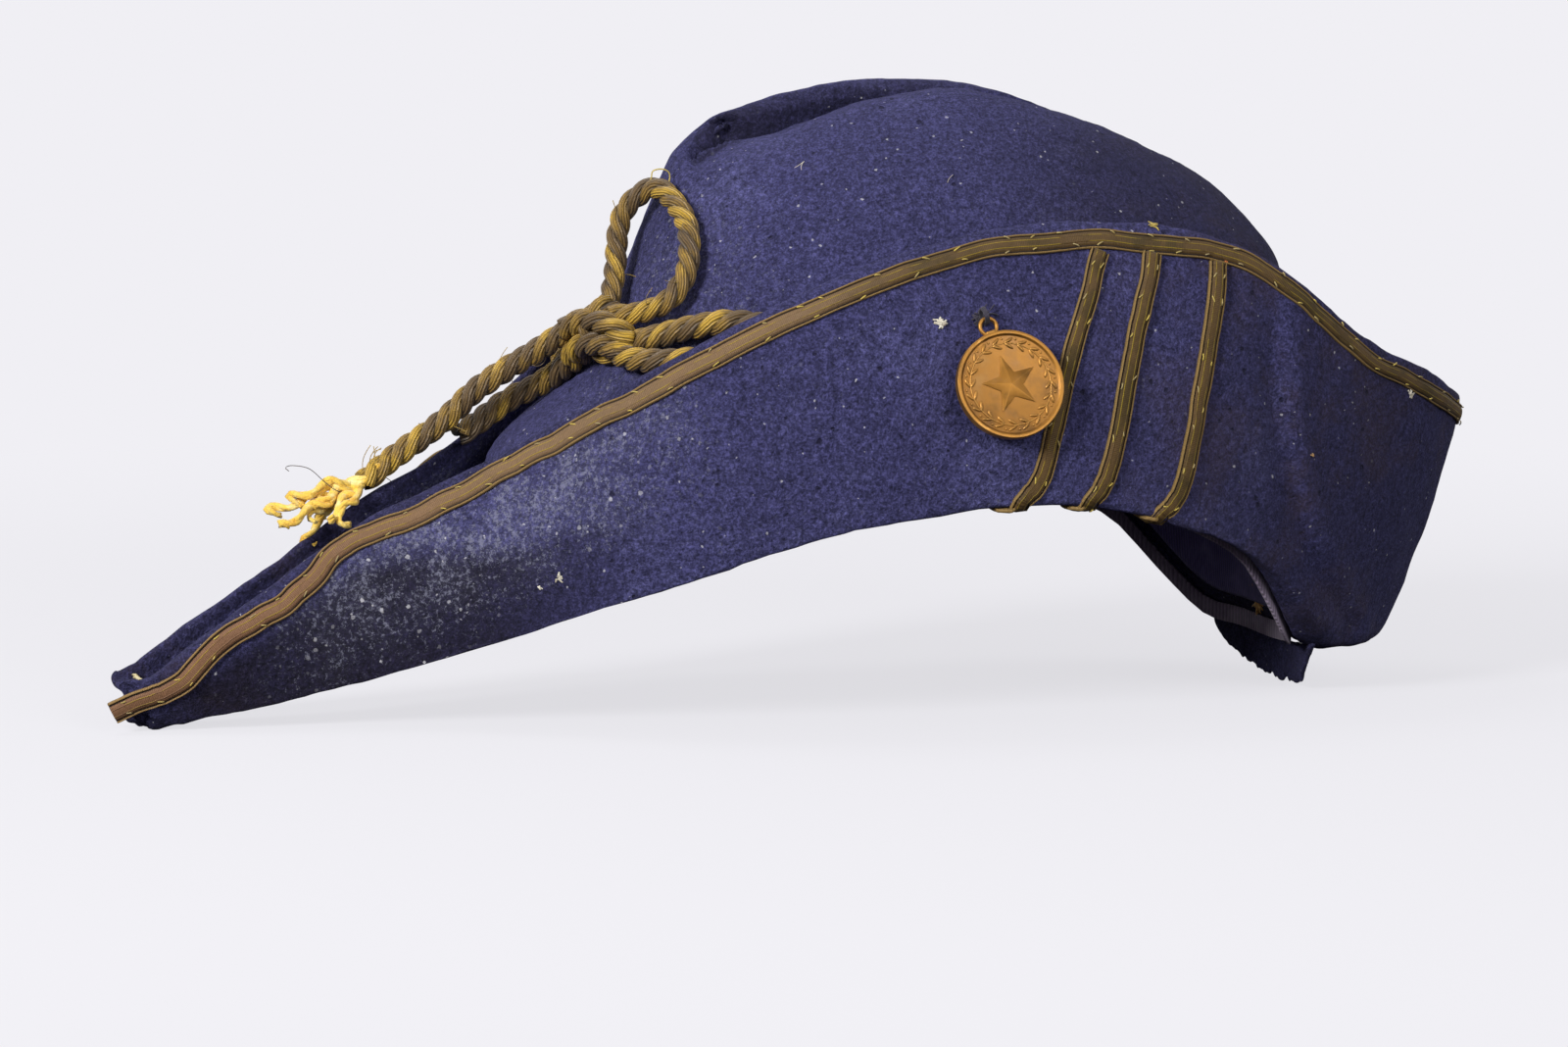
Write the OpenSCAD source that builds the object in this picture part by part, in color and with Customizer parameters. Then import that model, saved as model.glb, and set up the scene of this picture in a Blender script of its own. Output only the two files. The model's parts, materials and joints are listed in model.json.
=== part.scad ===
// Felt student's hat with a pinched crown and a turned-up brim drawn out into a long beak.
// -X is the front (the beak), -Y the wearer's left, +Z up. The origin is the centre of the
// head opening, in the plane on which the beak's tip and the nape rest.

/* [Head line] */
// Length of the line where crown and brim meet
head_l = 230; // [220:1:240]
// Width of that line
head_w = 144; // [136:1:150]
// Distance of its centre behind the origin
head_shift = 3; // [0:1:8]
// How far the crown's inner face stands inside the head line
crown_inset = 0.8; // [0:0.1:1.2]
// How square its rear half is (2 is an ellipse)
head_squareness = 2.4; // [2:0.1:2.8]
// The same for its front half, which runs to a prow
prow_squareness = 1.75; // [1.6:0.05:2]

/* [Felt] */
// Thickness of the crown's felt
crown_t = 3; // [2:0.25:3.5]
// Thickness of the brim's felt
brim_t = 3; // [2:0.25:3.5]
// Play between pieces that are sewn or laid together
sewn_gap = 0.3; // [0.2:0.05:0.5]

/* [Crown] */
// Height of the crown's top above the table
crown_h = 171; // [166:1:180]
// How far the left lip of the crease sags below the right one
lip_sag = 7; // [0:0.5:9]
// How far behind the front the sag dies out
lip_sag_l = 42; // [30:1:60]
// How square the crown is in plan (2 is an ellipse)
crown_squareness = 2.2; // [2:0.1:2.4]

/* [Brim] */
// Reach of the beak's fold in front of the origin
beak_reach = 205; // [190:1:215]
// Reach of the rear fold behind the origin
nape_reach = 148; // [142:1:156]
// Half-width of the brim at its fold
fold_w = 81; // [79.5:0.5:86]
// Height of the fold's arch at the sides
fold_h = 60; // [56:1:64]
// Tallest wall, at the rear quarters
wall_h = 90; // [82:1:96]
// How far the walls swell outward
wall_bulge = 5; // [2:0.5:7]
// How far the roll at the nape hangs below its ends
nape_drop = 2; // [0:0.5:4]
// Distance over which the fold is rounded
fold_round = 5; // [3:0.5:7]
// The same at the nape
nape_round = 9; // [6:0.5:12]
// How much taller the left wall is towards the beak's tip
tip_lift = 2; // [0:0.5:7]

/* [Braid] */
// Width of the braid along the edge
edge_braid_w = 7.2; // [5:0.2:8]
// Felt left bare above it
edge_margin = 2.4; // [1.5:0.1:4]
// The same at the nape
nape_margin = 0.8; // [0.4:0.1:4]
// Width of the three stripes
stripe_w = 6; // [4:0.2:7]
// Bare felt between the edge braid and the upper ends of the stripes
stripe_gap = 1.2; // [1:0.1:3]
// Thickness of the braid
braid_t = 1.3; // [0.8:0.1:1.6]
// Distance between stitches along the edge braid
stitch_pitch = 22; // [16:1:40]
// Length of a stitch
stitch_l = 2; // [1.5:0.1:2.6]
// Diameter of the sewing thread
thread_d = 0.7; // [0.5:0.05:0.9]

/* [Bands] */
// Height of the sweatband
sweatband_h = 24; // [16:1:28]
// Thickness of the sweatband
sweatband_t = 1.2; // [0.8:0.1:1.6]
// Width of the tape over the seam
tape_w = 5; // [4:0.5:6]
// Thickness of the tape
tape_t = 0.8; // [0.6:0.1:1]
// Thickness of the torn strip under the nape
nape_strip_t = 3; // [2:0.25:4]
// How far the strip lies behind the head line
nape_strip_back = 2; // [1:0.5:4]
// How far round the nape the strip reaches to each side, degrees of the head line
nape_strip_reach = 24; // [18:1:28]

/* [Cord] */
// Diameter of the twisted cord
cord_d = 6.4; // [5:0.2:6.8]
// Outer diameter of the knot
knot_d = 14; // [13.6:0.2:16]
// Diameter of a yarn in the frayed end
yarn_d = 2; // [1.4:0.1:2.2]

/* [Medal] */
// Diameter of the disc
medal_d = 29; // [26:0.5:34]
// Thickness at the rim
medal_t = 2.6; // [2:0.1:3]
// Width of the raised rim
medal_rim_w = 1.4; // [1:0.1:2]
// Height of the rim above the field
medal_rim_h = 0.5; // [0.3:0.1:0.8]
// Tip radius of the star
star_r = 8; // [6:0.5:10]
// Leaves in the wreath around the star
leaf_count = 20; // [12:1:24]
// Length of a leaf
leaf_l = 2.8; // [2:0.1:3.4]
// Outer diameter of the medal's loop
loop_d = 5.6; // [5.2:0.1:6.4]
// Thickness of the loop's wire
loop_wire = 1.1; // [0.9:0.05:1.2]
// Outer diameter of the thread loop that carries the medal
hanger_d = 5; // [4.8:0.1:5.4]
// Thickness of that thread loop
hanger_wire = 0.9; // [0.7:0.05:1]
// Clear distance between the medal's back and the felt
medal_stand = 2.6; // [2.5:0.1:3.4]
// How far the medal rests off the plumb line towards the nape, degrees
medal_tilt = 16; // [0:1:30]
// Diameter of the stitched tack behind the thread
tack_d = 4.4; // [3.6:0.2:5]
// Height of the tack
tack_h = 0.7; // [0.5:0.1:0.9]

/* [Hidden] */

// Ribs from the beak's tip (first row) along one side to the nape (last row).
// Fold: reach in front (-) or behind (+) as a share, half-width share, height share.
fold_rows = [
    [-1.000, 0.000, -0.02], [-0.985, 0.060, -0.02], [-0.936, 0.110, 0.02], [-0.803, 0.173, 0.120],
    [-0.695, 0.272, 0.21], [-0.552, 0.475, 0.38], [-0.360, 0.755, 0.64], [-0.167, 0.908, 0.865],
    [0.000, 0.975, 0.985], [0.203, 1.000, 1.00], [0.405, 0.920, 0.90], [0.608, 0.757, 0.69],
    [0.737, 0.588, 0.42], [0.845, 0.400, 0.23], [0.932, 0.225, 0.18], [1.000, 0.000, 0.15]
];
// Wall above the fold: height share, then sideways and forward lean per unit of height.
wall_rows = [
    [0.11, 0.00, -0.55], [0.155, 0.20, -0.72], [0.18, 0.03, -0.60], [0.345, -0.16, -0.22],
    [0.475, -0.27, -0.10], [0.555, -0.36, 0.00], [0.655, -0.21, -0.05], [0.735, -0.16, -0.06],
    [0.795, -0.22, -0.03], [0.83, -0.28, -0.03], [0.89, -0.20, -0.03], [0.965, -0.06, -0.05],
    [0.98, 0.07, -0.02], [0.94, 0.15, 0.03], [0.845, 0.15, 0.21], [0.765, 0.00, 0.345]
];
// Where each rib leaves the head line (degrees from the front) and how far above the fold,
// as a share of the fold's height.
head_rows = [
    [0, 0.73], [3, 0.73], [7, 0.70], [13, 0.62], [21, 0.53], [32, 0.42], [50, 0.25], [71, 0.10],
    [88, 0.03], [100, 0.03], [115.5, 0.03], [134, 0.03], [146, 0.03], [156.5, 0.05],
    [168, 0.07], [180, 0.08]
];
rib_last = len(fold_rows) - 1;
// Crown rings above the head line: reach in front and behind and half-width as shares of the
// head line's, then heights at front, side and rear as shares of the crown's height. The
// last rows run down into the crease.
crown_rows = [
    [0.97, 0.98, 0.960, 0.345, 0.440, 0.230], [0.93, 0.97, 0.905, 0.430, 0.515, 0.410],
    [0.77, 0.96, 0.840, 0.515, 0.600, 0.560], [0.675, 0.95, 0.770, 0.610, 0.700, 0.690],
    [0.60, 0.88, 0.660, 0.725, 0.795, 0.755], [0.535, 0.755, 0.510, 0.830, 0.877, 0.838],
    [0.495, 0.59, 0.360, 0.885, 0.938, 0.893], [0.41, 0.38, 0.200, 0.935, 0.983, 0.945],
    [0.38, 0.28, 0.110, 0.925, 0.986, 0.962], [0.35, 0.22, 0.060, 0.905, 0.940, 0.955],
    [0.31, 0.17, 0.020, 0.890, 0.905, 0.945]
];
crown_last = len(crown_rows) - 1;

// The cord's knot and the routes of its loose ends.
knot_at = [-82.5, -17.5, 106];
bow_route = [
    [-80, -22, 109], [-74, -27, 110], [-68, -32, 113], [-63, -32, 119], [-61, -30, 125],
    [-60, -25, 132], [-61, -17, 138], [-64, -9, 142], [-68, -5, 140], [-72, -3, 135],
    [-74, -4, 128], [-75, -6, 121], [-77, -9, 114], [-80, -13, 109]
];
side_route = [
    [-80, -20, 102], [-79, -26, 99], [-76, -32, 98], [-70, -39, 98], [-62, -46, 99],
    [-53, -53, 100], [-44, -59, 102]
];
long_route = [
    [-85, -13, 106], [-90, -7, 103], [-96, -1, 98], [-103, 4, 93], [-111, 7, 87],
    [-118, 9, 80], [-126, 10, 74], [-133, 11, 69], [-141, 10, 63]
];
short_route = [
    [-83, -11, 100], [-86, -4, 96], [-89, 3, 92], [-93, 9, 88], [-100, 13, 84],
    [-107, 14, 79], [-114, 12, 75]
];
// Yarns of the frayed end: where each one ends.
yarn_tips = [[-155, 4, 58], [-165, 8, 57], [-163, -1, 53], [-156, 10, 52], [-150, -3, 57]];

// Over how many ribs the margin above the edge braid narrows towards the nape.
nape_margin_ribs = 3;
// Where the three stripes start below the edge braid and where they go under the fold,
// as station angles.
stripe_tops = [113.2, 119.2, 127.5];
stripe_feet = [100.5, 108.5, 117];
stripe_foot_g = 0.5;
stripe_bend = 2.5;
// Where the medal hangs on the left wall.
medal_station = 99.6;
medal_g = 2.67;

stations = 90;
station_step = 360 / stations;
crown_stations = 72;
crown_levels = 24;
floor_steps = 4;
corner_steps = 4;
wall_steps = 6;
cord_sides = 8;

// ---- interpolation -------------------------------------------------------------------------

function lerp(a, b, t) = a + (b - a) * t;
function unit(v) = v / norm(v);
function clamp(x, low, high) = min(max(x, low), high);
function bell(x, width) = exp(-pow(x / width, 2));

// Smooth curve through four neighbouring values, t from 0 to 1 between b and c.
function spline(a, b, c, d, t) =
    0.5 * (2 * b + (c - a) * t + (2 * a - 5 * b + 4 * c - d) * t * t
    + (3 * b - a - 3 * c + d) * t * t * t);

// Rows of a symmetric table: those before the first and after the last are mirrored.
function mirrored(rows, i, signs) =
    let (last = len(rows) - 1)
    i < 0 ? [for (k = [0:len(signs) - 1]) signs[k] * rows[-i][k]]
    : i > last ? [for (k = [0:len(signs) - 1]) signs[k] * rows[2 * last - i][k]]
    : rows[i];
function row_at(rows, v, signs) =
    let (i = clamp(floor(v), 0, len(rows) - 2), t = v - i)
    spline(mirrored(rows, i - 1, signs), rows[i], rows[i + 1],
           mirrored(rows, i + 2, signs), t);

// Rows of an open table: the ends are carried on straight.
function extended(rows, i) =
    let (last = len(rows) - 1)
    i < 0 ? 2 * rows[0] - rows[1] : i > last ? 2 * rows[last] - rows[last - 1] : rows[i];
function path_at(rows, v) =
    let (i = clamp(floor(v), 0, len(rows) - 2), t = v - i)
    spline(extended(rows, i - 1), rows[i], rows[i + 1], extended(rows, i + 2), t);
function smooth_path(rows, steps) =
    [for (k = [0:steps]) path_at(rows, k * (len(rows) - 1) / steps)];

// ---- head line -----------------------------------------------------------------------------

function head_power(angle) = 2 / (angle > 90 ? head_squareness : prow_squareness);
// Plan of the head line at an angle from the front, grown by a distance.
function head_plan(angle, grow) =
    let (
        power = head_power(angle),
        x = -sign(cos(angle)) * pow(abs(cos(angle)), power),
        y = pow(abs(sin(angle)), power)
    )
    [head_shift + (head_l / 2 + grow) * x, (head_w / 2 + grow) * sign(sin(angle)) * y];
// Head angle of a rib position, and the rib position of a head angle.
function head_angle(v) =
    let (i = clamp(floor(v), 0, rib_last - 1))
    lerp(head_rows[i][0], head_rows[i + 1][0], v - i);
function rib_of_angle(angle, i = 0) =
    i >= rib_last || head_rows[i + 1][0] >= angle
    ? i + (angle - head_rows[i][0]) / (head_rows[i + 1][0] - head_rows[i][0])
    : rib_of_angle(angle, i + 1);
function head_height(angle) = underside_height(rib_of_angle(angle));
function underside_height(v) =
    fold_h * (row_at(fold_rows, v, [1, -1, 1])[2] + row_at(head_rows, v, [-1, 1])[1]);

// ---- brim surface --------------------------------------------------------------------------

// Fold point and wall-top point of rib v, for the side y > 0.
function fold_point(v) =
    let (row = row_at(fold_rows, v, [1, -1, 1]))
    [(row[0] < 0 ? beak_reach : nape_reach) * row[0], fold_w * row[1], fold_h * row[2]];
function edge_point(v) =
    let (row = row_at(wall_rows, v, [1, -1, 1]), rise = wall_h * row[0])
    fold_point(v) + rise * [row[2], row[1], 1];
function head_point(v) =
    let (plan = head_plan(head_angle(v), 0))
    [plan[0], plan[1], underside_height(v)];
// Outward direction of the wall in plan.
function wall_outward(v) =
    let (d = fold_point(min(v + 0.1, rib_last)) - fold_point(max(v - 0.1, 0)))
    v <= 0.05 ? [-1, 0, 0] : v >= rib_last - 0.05 ? [1, 0, 0] : unit([-d[1], d[0], 0]);
function nape_share(v) = bell(rib_last - v, 1.7);

// Section of a rib: g runs 0 to 1 from the head line to the fold, 1 to 2 round it and 2 to 3
// up the wall.
function section_point(head, fold, edge, round, v, g) =
    let (
        floor_l = norm(fold - head),
        wall_l = norm(edge - fold),
        r = min(round, 0.45 * floor_l, 0.45 * wall_l),
        floor_end = lerp(fold, head, r / floor_l),
        wall_start = lerp(fold, edge, r / wall_l),
        droop = nape_drop * nape_share(v) * pow(sin(180 * g), 2),
        swell = wall_bulge * clamp(wall_l / wall_h, 0, 1) * (1 - 0.6 * nape_share(v))
    )
    g <= 1 ? lerp(head, floor_end, g) - [0, 0, droop]
    : g <= 2 ? lerp(lerp(floor_end, fold, g - 1), lerp(fold, wall_start, g - 1), g - 1)
    : lerp(wall_start, edge, g - 2) + wall_outward(v) * swell * 4 * (g - 2) * (3 - g);
function fold_radius(v) = lerp(fold_round, nape_round, nape_share(v));
// Outer face of the brim.
function brim_surface(v, g) =
    section_point(head_point(v), fold_point(v), edge_point(v), fold_radius(v), v, g);
// Inner face: the same section, its three corners moved in by the felt's thickness.
function head_run(v) =
    v < 0.05 ? [0, 1, 0] : v > rib_last - 0.05 ? [0, -1, 0]
    : unit(head_point(v + 0.04) - head_point(v - 0.04));
function fold_run(v) =
    v < 0.05 ? [0, 1, 0] : v > rib_last - 0.05 ? [0, -1, 0]
    : unit(fold_point(v + 0.04) - fold_point(v - 0.04));
function edge_run(v) =
    v < 0.05 ? [0, 1, 0] : v > rib_last - 0.05 ? [0, -1, 0]
    : unit(edge_point(v + 0.04) - edge_point(v - 0.04));
function brim_lining(v, g) =
    let (
        head = head_point(v),
        fold = fold_point(v),
        edge = edge_point(v),
        n_head = unit(cross(head_run(v), fold - head)),
        n_floor = unit(cross(fold_run(v), fold - head)),
        n_wall = unit(cross(fold_run(v), edge - fold)),
        n_edge = unit(cross(edge_run(v), edge - fold)),
        corner = (n_floor + n_wall) / (1 + n_floor * n_wall)
    )
    section_point(head + brim_t * n_head, fold + brim_t * corner, edge + brim_t * n_edge,
                  max(fold_radius(v) - brim_t, 1), v, g);

// Rib position and side of a station angle: 0 is the tip, 90 the left, 180 the nape.
function station_rib(angle) = rib_last * (angle <= 180 ? angle : 360 - angle) / 180;
function on_side(angle, p) = [p[0], angle <= 180 ? -p[1] : p[1], p[2]];
// The left wall is taller towards the beak's tip.
function tip_share(angle, g) =
    angle < 180 ? bell(station_rib(angle) - 2.6, 1.5) * clamp(g - 2, 0, 1) : 0;
function brim_outer(angle, g) =
    let (a = (angle + 360) % 360)
    on_side(a, brim_surface(station_rib(a), g)) + [0, 0, tip_lift * tip_share(a, g)];
function brim_inner(angle, g) =
    let (a = (angle + 360) % 360)
    on_side(a, brim_lining(station_rib(a), g)) + [0, 0, tip_lift * tip_share(a, g)];
// Direction out of the felt on the outer face.
function brim_normal(angle, g) =
    let (
        low = max(g - 0.08, 0),
        high = min(g + 0.08, 3),
        along = brim_outer(angle + 1.5, g) - brim_outer(angle - 1.5, g),
        up = brim_outer(angle, high) - brim_outer(angle, low)
    )
    unit(cross(along, up));
section_steps = concat([for (k = [0:floor_steps]) k / floor_steps],
                       [for (k = [1:corner_steps]) 1 + k / corner_steps],
                       [for (k = [1:wall_steps]) 2 + k / wall_steps]);
function brim_section(angle) =
    let (
        outer = [for (g = section_steps) brim_outer(angle, g)],
        inner = [for (g = section_steps) brim_inner(angle, g)],
        last = len(outer) - 1,
        lip = lerp(outer[last], inner[last], 0.5) + 0.3 * brim_t * unit(outer[last] - outer[last - 1])
    )
    concat(outer, [lip], [for (k = [last:-1:0]) inner[k]]);

// ---- crown surface -------------------------------------------------------------------------

// Outer face of the crown at an angle from the front; level s is 0 at the foot, 1 at the
// first row of the table and so on.
function crown_point(angle, s) =
    let (
        side = angle > 180 ? 1 : -1,
        a = angle > 180 ? 360 - angle : angle,
        foot_plan = head_plan(a, crown_t - crown_inset),
        run = head_run(rib_of_angle(a)),
        foot_rise = (brim_t + sewn_gap) / norm([run[0], run[1]]),
        foot = [foot_plan[0], foot_plan[1], head_height(a) + foot_rise],
        row = path_at(crown_rows, max(s - 1, 0)),
        power = lerp(head_power(a), 2 / crown_squareness, clamp((s - 1) / 3, 0, 1)),
        cx = -sign(cos(a)) * pow(abs(cos(a)), power),
        cy = pow(abs(sin(a)), power),
        front = row[0] * (head_l / 2 + crown_t),
        rear = row[1] * (head_l / 2 + crown_t),
        x = head_shift + (rear - front) / 2 + cx * (rear + front) / 2,
        forward = clamp(-cx, 0, 1),
        backward = clamp(cx, 0, 1),
        z = row[4] + (row[3] - row[4]) * pow(forward, 1.6) + (row[5] - row[4]) * pow(backward, 2.6),
        sag = lip_sag * clamp((s - 5) / 3, 0, 1) * clamp(-x / lip_sag_l + 0.3, 0, 1)
            * (side < 0 ? clamp(cy * 1.5, 0, 1) : 0),
        body = [x, cy * row[2] * (head_w / 2 + crown_t), crown_h * z - sag],
        p = s >= 1 ? body : lerp(foot, body, s)
    )
    [p[0], side * p[1], p[2]];
function crown_normal(angle, s) =
    let (
        top = crown_last + 1,
        along = crown_point((angle + 3) % 360, s) - crown_point((angle + 357) % 360, s),
        up = crown_point(angle, min(s + 0.25, top)) - crown_point(angle, max(s - 0.25, 0))
    )
    unit(cross(along, up));

// ---- solids from grids of points -----------------------------------------------------------

function flat(rows) = [for (row = rows) each row];
// Two triangles per cell; wrap_i and wrap_j close the grid on itself.
function grid_faces(n, m, wrap_i, wrap_j, first = 0, flip = false) = [
    for (i = [0:n - (wrap_i ? 1 : 2)])
    for (j = [0:m - (wrap_j ? 1 : 2)])
    let (
        a = first + i * m + j,
        b = first + ((i + 1) % n) * m + j,
        c = first + ((i + 1) % n) * m + (j + 1) % m,
        d = first + i * m + (j + 1) % m
    )
    each flip ? [[a, c, b], [a, d, c]] : [[a, b, c], [a, c, d]]
];
// Closed loop of closed sections.
module ring_sweep(sections) {
    polyhedron(flat(sections), grid_faces(len(sections), len(sections[0]), true, true, 0, true));
}
// Open run of closed sections with a flat cap at each end.
module open_sweep(sections) {
    n = len(sections);
    m = len(sections[0]);
    caps = [[for (j = [m - 1:-1:0]) j], [for (j = [0:m - 1]) (n - 1) * m + j]];
    polyhedron(flat(sections), concat(grid_faces(n, m, false, true, 0, true), caps));
}
// Round tube along a path; across is a direction that the path never runs along.
function tube_section(path, i, d, across, sides) =
    let (
        last = len(path) - 1,
        run = unit(path[min(i + 1, last)] - path[max(i - 1, 0)]),
        e1 = unit(cross(across, run)),
        e2 = cross(run, e1)
    )
    [for (k = [0:sides - 1]) path[i] + d / 2 * (cos(360 * k / sides) * e1 + sin(360 * k / sides) * e2)];
module tube(path, d, across, sides = cord_sides) {
    open_sweep([for (i = [len(path) - 1:-1:0]) tube_section(path, i, d, across, sides)]);
}
// Strip laid on the brim along a list of [angle, g] places.
function strip_section(places, i, w, t, lift) =
    let (
        last = len(places) - 1,
        here = places[i],
        before = places[max(i - 1, 0)],
        after = places[min(i + 1, last)],
        up = brim_normal(here[0], here[1]),
        run = brim_outer(after[0], after[1]) - brim_outer(before[0], before[1]),
        aside = unit(cross(up, run)),
        base = brim_outer(here[0], here[1]) + lift * up
    )
    [
        base - w / 2 * aside, base + w / 2 * aside,
        base + w / 2 * aside + 0.75 * t * up, base + 0.3 * w * aside + t * up,
        base - 0.3 * w * aside + t * up, base - w / 2 * aside + 0.75 * t * up
    ];
module strip(places, w, t, lift) {
    open_sweep([for (i = [len(places) - 1:-1:0]) strip_section(places, i, w, t, lift)]);
}

// ---- felt ----------------------------------------------------------------------------------

module brim() {
    color([0.13, 0.13, 0.27])
    ring_sweep([for (k = [0:stations - 1]) brim_section(k * station_step)]);
}

module crown() {
    top = crown_last + 1;
    angles = [for (k = [0:crown_stations - 1]) k * 360 / crown_stations];
    levels = [for (k = [0:crown_levels]) top * k / crown_levels];
    outer = [for (s = levels) [for (a = angles) crown_point(a, s)]];
    inner = [for (s = levels) [for (a = angles) crown_point(a, s) - crown_t * crown_normal(a, s)]];
    n = crown_stations;
    m = crown_levels + 1;
    foot = [for (a = angles) let (p = crown_point(a, 0)) p - crown_t * unit([p[0] - head_shift, p[1], 0])];
    inner_rings = concat([foot], [for (k = [1:crown_levels]) inner[k]]);
    middle = 2 * n * m;
    points = concat(flat(outer), flat(inner_rings),
                    [lerp(outer[m - 1][0], outer[m - 1][n / 2], 0.5),
                     lerp(inner[m - 1][0], inner[m - 1][n / 2], 0.5)]);
    rim = [for (i = [0:n - 1]) let (j = (i + 1) % n) each [[i, j, n * m + j], [i, n * m + j, n * m + i]]];
    caps = [
        for (i = [0:n - 1])
        let (j = (i + 1) % n, o = (m - 1) * n, q = n * m + (m - 1) * n)
        each [[o + j, o + i, middle], [q + i, q + j, middle + 1]]
    ];
    color([0.13, 0.13, 0.27])
    polyhedron(points, concat(grid_faces(m, n, false, true, 0, false),
                              grid_faces(m, n, false, true, n * m, true), rim, caps));
}

// Torn strip of felt that hangs under the nape, down to the table.
module nape_strip() {
    steps = 20;
    // Height left at the strip's two ends.
    end_h = 3;
    sections = [
        for (k = [0:steps])
        let (
            share = 1 - 2 * k / steps,
            angle = 180 + nape_strip_reach * share,
            a = angle > 180 ? 360 - angle : angle,
            v = rib_of_angle(a),
            floor_l = norm(fold_point(v) - head_point(v)),
            near = brim_surface(v, nape_strip_back / floor_l) - [0, 0, 2 * sewn_gap],
            far = brim_surface(v, (nape_strip_back + nape_strip_t) / floor_l) - [0, 0, 2 * sewn_gap],
            low = (far[2] - end_h) * pow(abs(share), 2.4),
            y = angle > 180 ? 1 : -1
        )
        [[near[0], y * near[1], low], [near[0], y * near[1], near[2]],
         [far[0], y * far[1], far[2]], [far[0], y * far[1], low]]
    ];
    color([0.09, 0.09, 0.18])
    open_sweep(sections);
}

// ---- bands inside --------------------------------------------------------------------------

// Crown level that lies a given height above the foot.
function level_at(angle, rise, low = 0, high = 4, n = 10) =
    let (middle = (low + high) / 2, z = crown_point(angle, middle)[2] - crown_point(angle, 0)[2])
    n == 0 ? middle
    : z < rise ? level_at(angle, rise, middle, high, n - 1)
    : level_at(angle, rise, low, middle, n - 1);
function inside_crown(angle, rise, depth) =
    let (s = level_at(angle, rise))
    crown_point(angle, s) - depth * crown_normal(angle, s);

module sweatband() {
    foot = tape_w - 1;
    rises = [for (k = [0:4]) lerp(foot, foot + sweatband_h, k / 4)];
    outer_depth = crown_t + 2 * sewn_gap;
    color([0.25, 0.22, 0.42])
    ring_sweep([
        for (k = [0:crown_stations - 1])
        let (a = k * 360 / crown_stations)
        concat([for (r = rises) inside_crown(a, r, outer_depth)],
               [for (i = [4:-1:0]) inside_crown(a, rises[i], outer_depth + sweatband_t)])
    ]);
}

// Grosgrain tape that covers the seam of crown and brim on the inside.
module head_tape() {
    color([0.36, 0.31, 0.40])
    ring_sweep([
        for (k = [0:stations - 1])
        let (
            angle = k * station_step,
            a = angle > 180 ? 360 - angle : angle,
            y = angle > 180 ? 1 : -1,
            z = head_height(a) - 1,
            outer = head_plan(a, -crown_inset - 2 * sewn_gap),
            inner = head_plan(a, -crown_inset - 2 * sewn_gap - tape_t)
        )
        [[outer[0], y * outer[1], z], [outer[0], y * outer[1], z + tape_w],
         [inner[0], y * inner[1], z + tape_w], [inner[0], y * inner[1], z]]
    ]);
}

// ---- braid and stitches --------------------------------------------------------------------

// Section parameter of the wall at a distance below its top edge.
function below_edge(angle, distance) =
    let (v = station_rib((angle + 360) % 360), wall_l = norm(edge_point(v) - fold_point(v)))
    3 - distance / (wall_l - min(fold_radius(v), 0.45 * wall_l));
function braid_margin(angle) =
    lerp(edge_margin, nape_margin, bell(rib_last - station_rib(angle), nape_margin_ribs));
function edge_braid_middle(angle) = below_edge(angle, braid_margin(angle) + edge_braid_w / 2);
edge_braid_places = [
    for (k = [1:stations - 1])
    let (angle = k * station_step)
    [angle, edge_braid_middle(angle)]
];
module edge_braid() {
    color([0.55, 0.44, 0.25])
    strip(edge_braid_places, edge_braid_w, braid_t, 1.5 * sewn_gap);
}

function stripe_places(i) = [
    for (k = [0:18])
    let (
        t = k / 18,
        angle = lerp(stripe_tops[i], stripe_feet[i], 1 - pow(1 - t, stripe_bend)),
        top = below_edge(stripe_tops[i], braid_margin(stripe_tops[i]) + edge_braid_w + stripe_gap)
    )
    [angle, lerp(top, stripe_foot_g, t)]
];
module stripe_braid(i) {
    color([0.52, 0.45, 0.30])
    strip(stripe_places(i), stripe_w, braid_t, 1.5 * sewn_gap);
}

// Round stick of thread centred on a point and lying along a direction.
module stick(p, along, l, d) {
    u = unit(along);
    translate(p)
    rotate([0, acos(u[2]), atan2(u[1], u[0])])
    cylinder(h = l, d = d, center = true, $fn = 16);
}
// Stitches across both edges of a braid, every so many places.
module braid_stitches(places, w, lift) {
    for (i = [1:2:len(places) - 2])
    for (side = [-1, 1])
    let (
        here = places[i],
        up = brim_normal(here[0], here[1]),
        run = brim_outer(places[i + 1][0], places[i + 1][1])
            - brim_outer(places[i - 1][0], places[i - 1][1]),
        aside = unit(cross(up, run)),
        p = brim_outer(here[0], here[1]) + lift * up + side * (w / 2 - 0.3 * stitch_l) * aside
    )
    stick(p, aside + 0.4 * unit(run), stitch_l, thread_d);
}
module edge_stitches() {
    steps = round(2 * (beak_reach + nape_reach) / stitch_pitch);
    places = [
        for (k = [0:2 * steps])
        let (angle = lerp(10, 350, k / (2 * steps)))
        [angle, edge_braid_middle(angle)]
    ];
    color([0.80, 0.68, 0.28])
    braid_stitches(places, edge_braid_w, 1.5 * sewn_gap + braid_t + thread_d / 2 + sewn_gap);
}
module stripe_stitches() {
    color([0.80, 0.68, 0.28])
    for (i = [0:2])
    braid_stitches([for (k = [2:15]) stripe_places(i)[k]], stripe_w,
                   1.5 * sewn_gap + braid_t + thread_d / 2 + sewn_gap);
}

// Thread bar that ties the two walls together at the beak's tip.
module tip_tack() {
    angle = 20;
    g = 2.75;
    left = brim_inner(angle, g);
    right = brim_inner(360 - angle, g);
    span = norm(right - left) - 2 * sewn_gap;
    color([0.85, 0.80, 0.62])
    stick(lerp(left, right, 0.5), right - left, span, 2 * thread_d);
}

// ---- cord ----------------------------------------------------------------------------------

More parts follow.
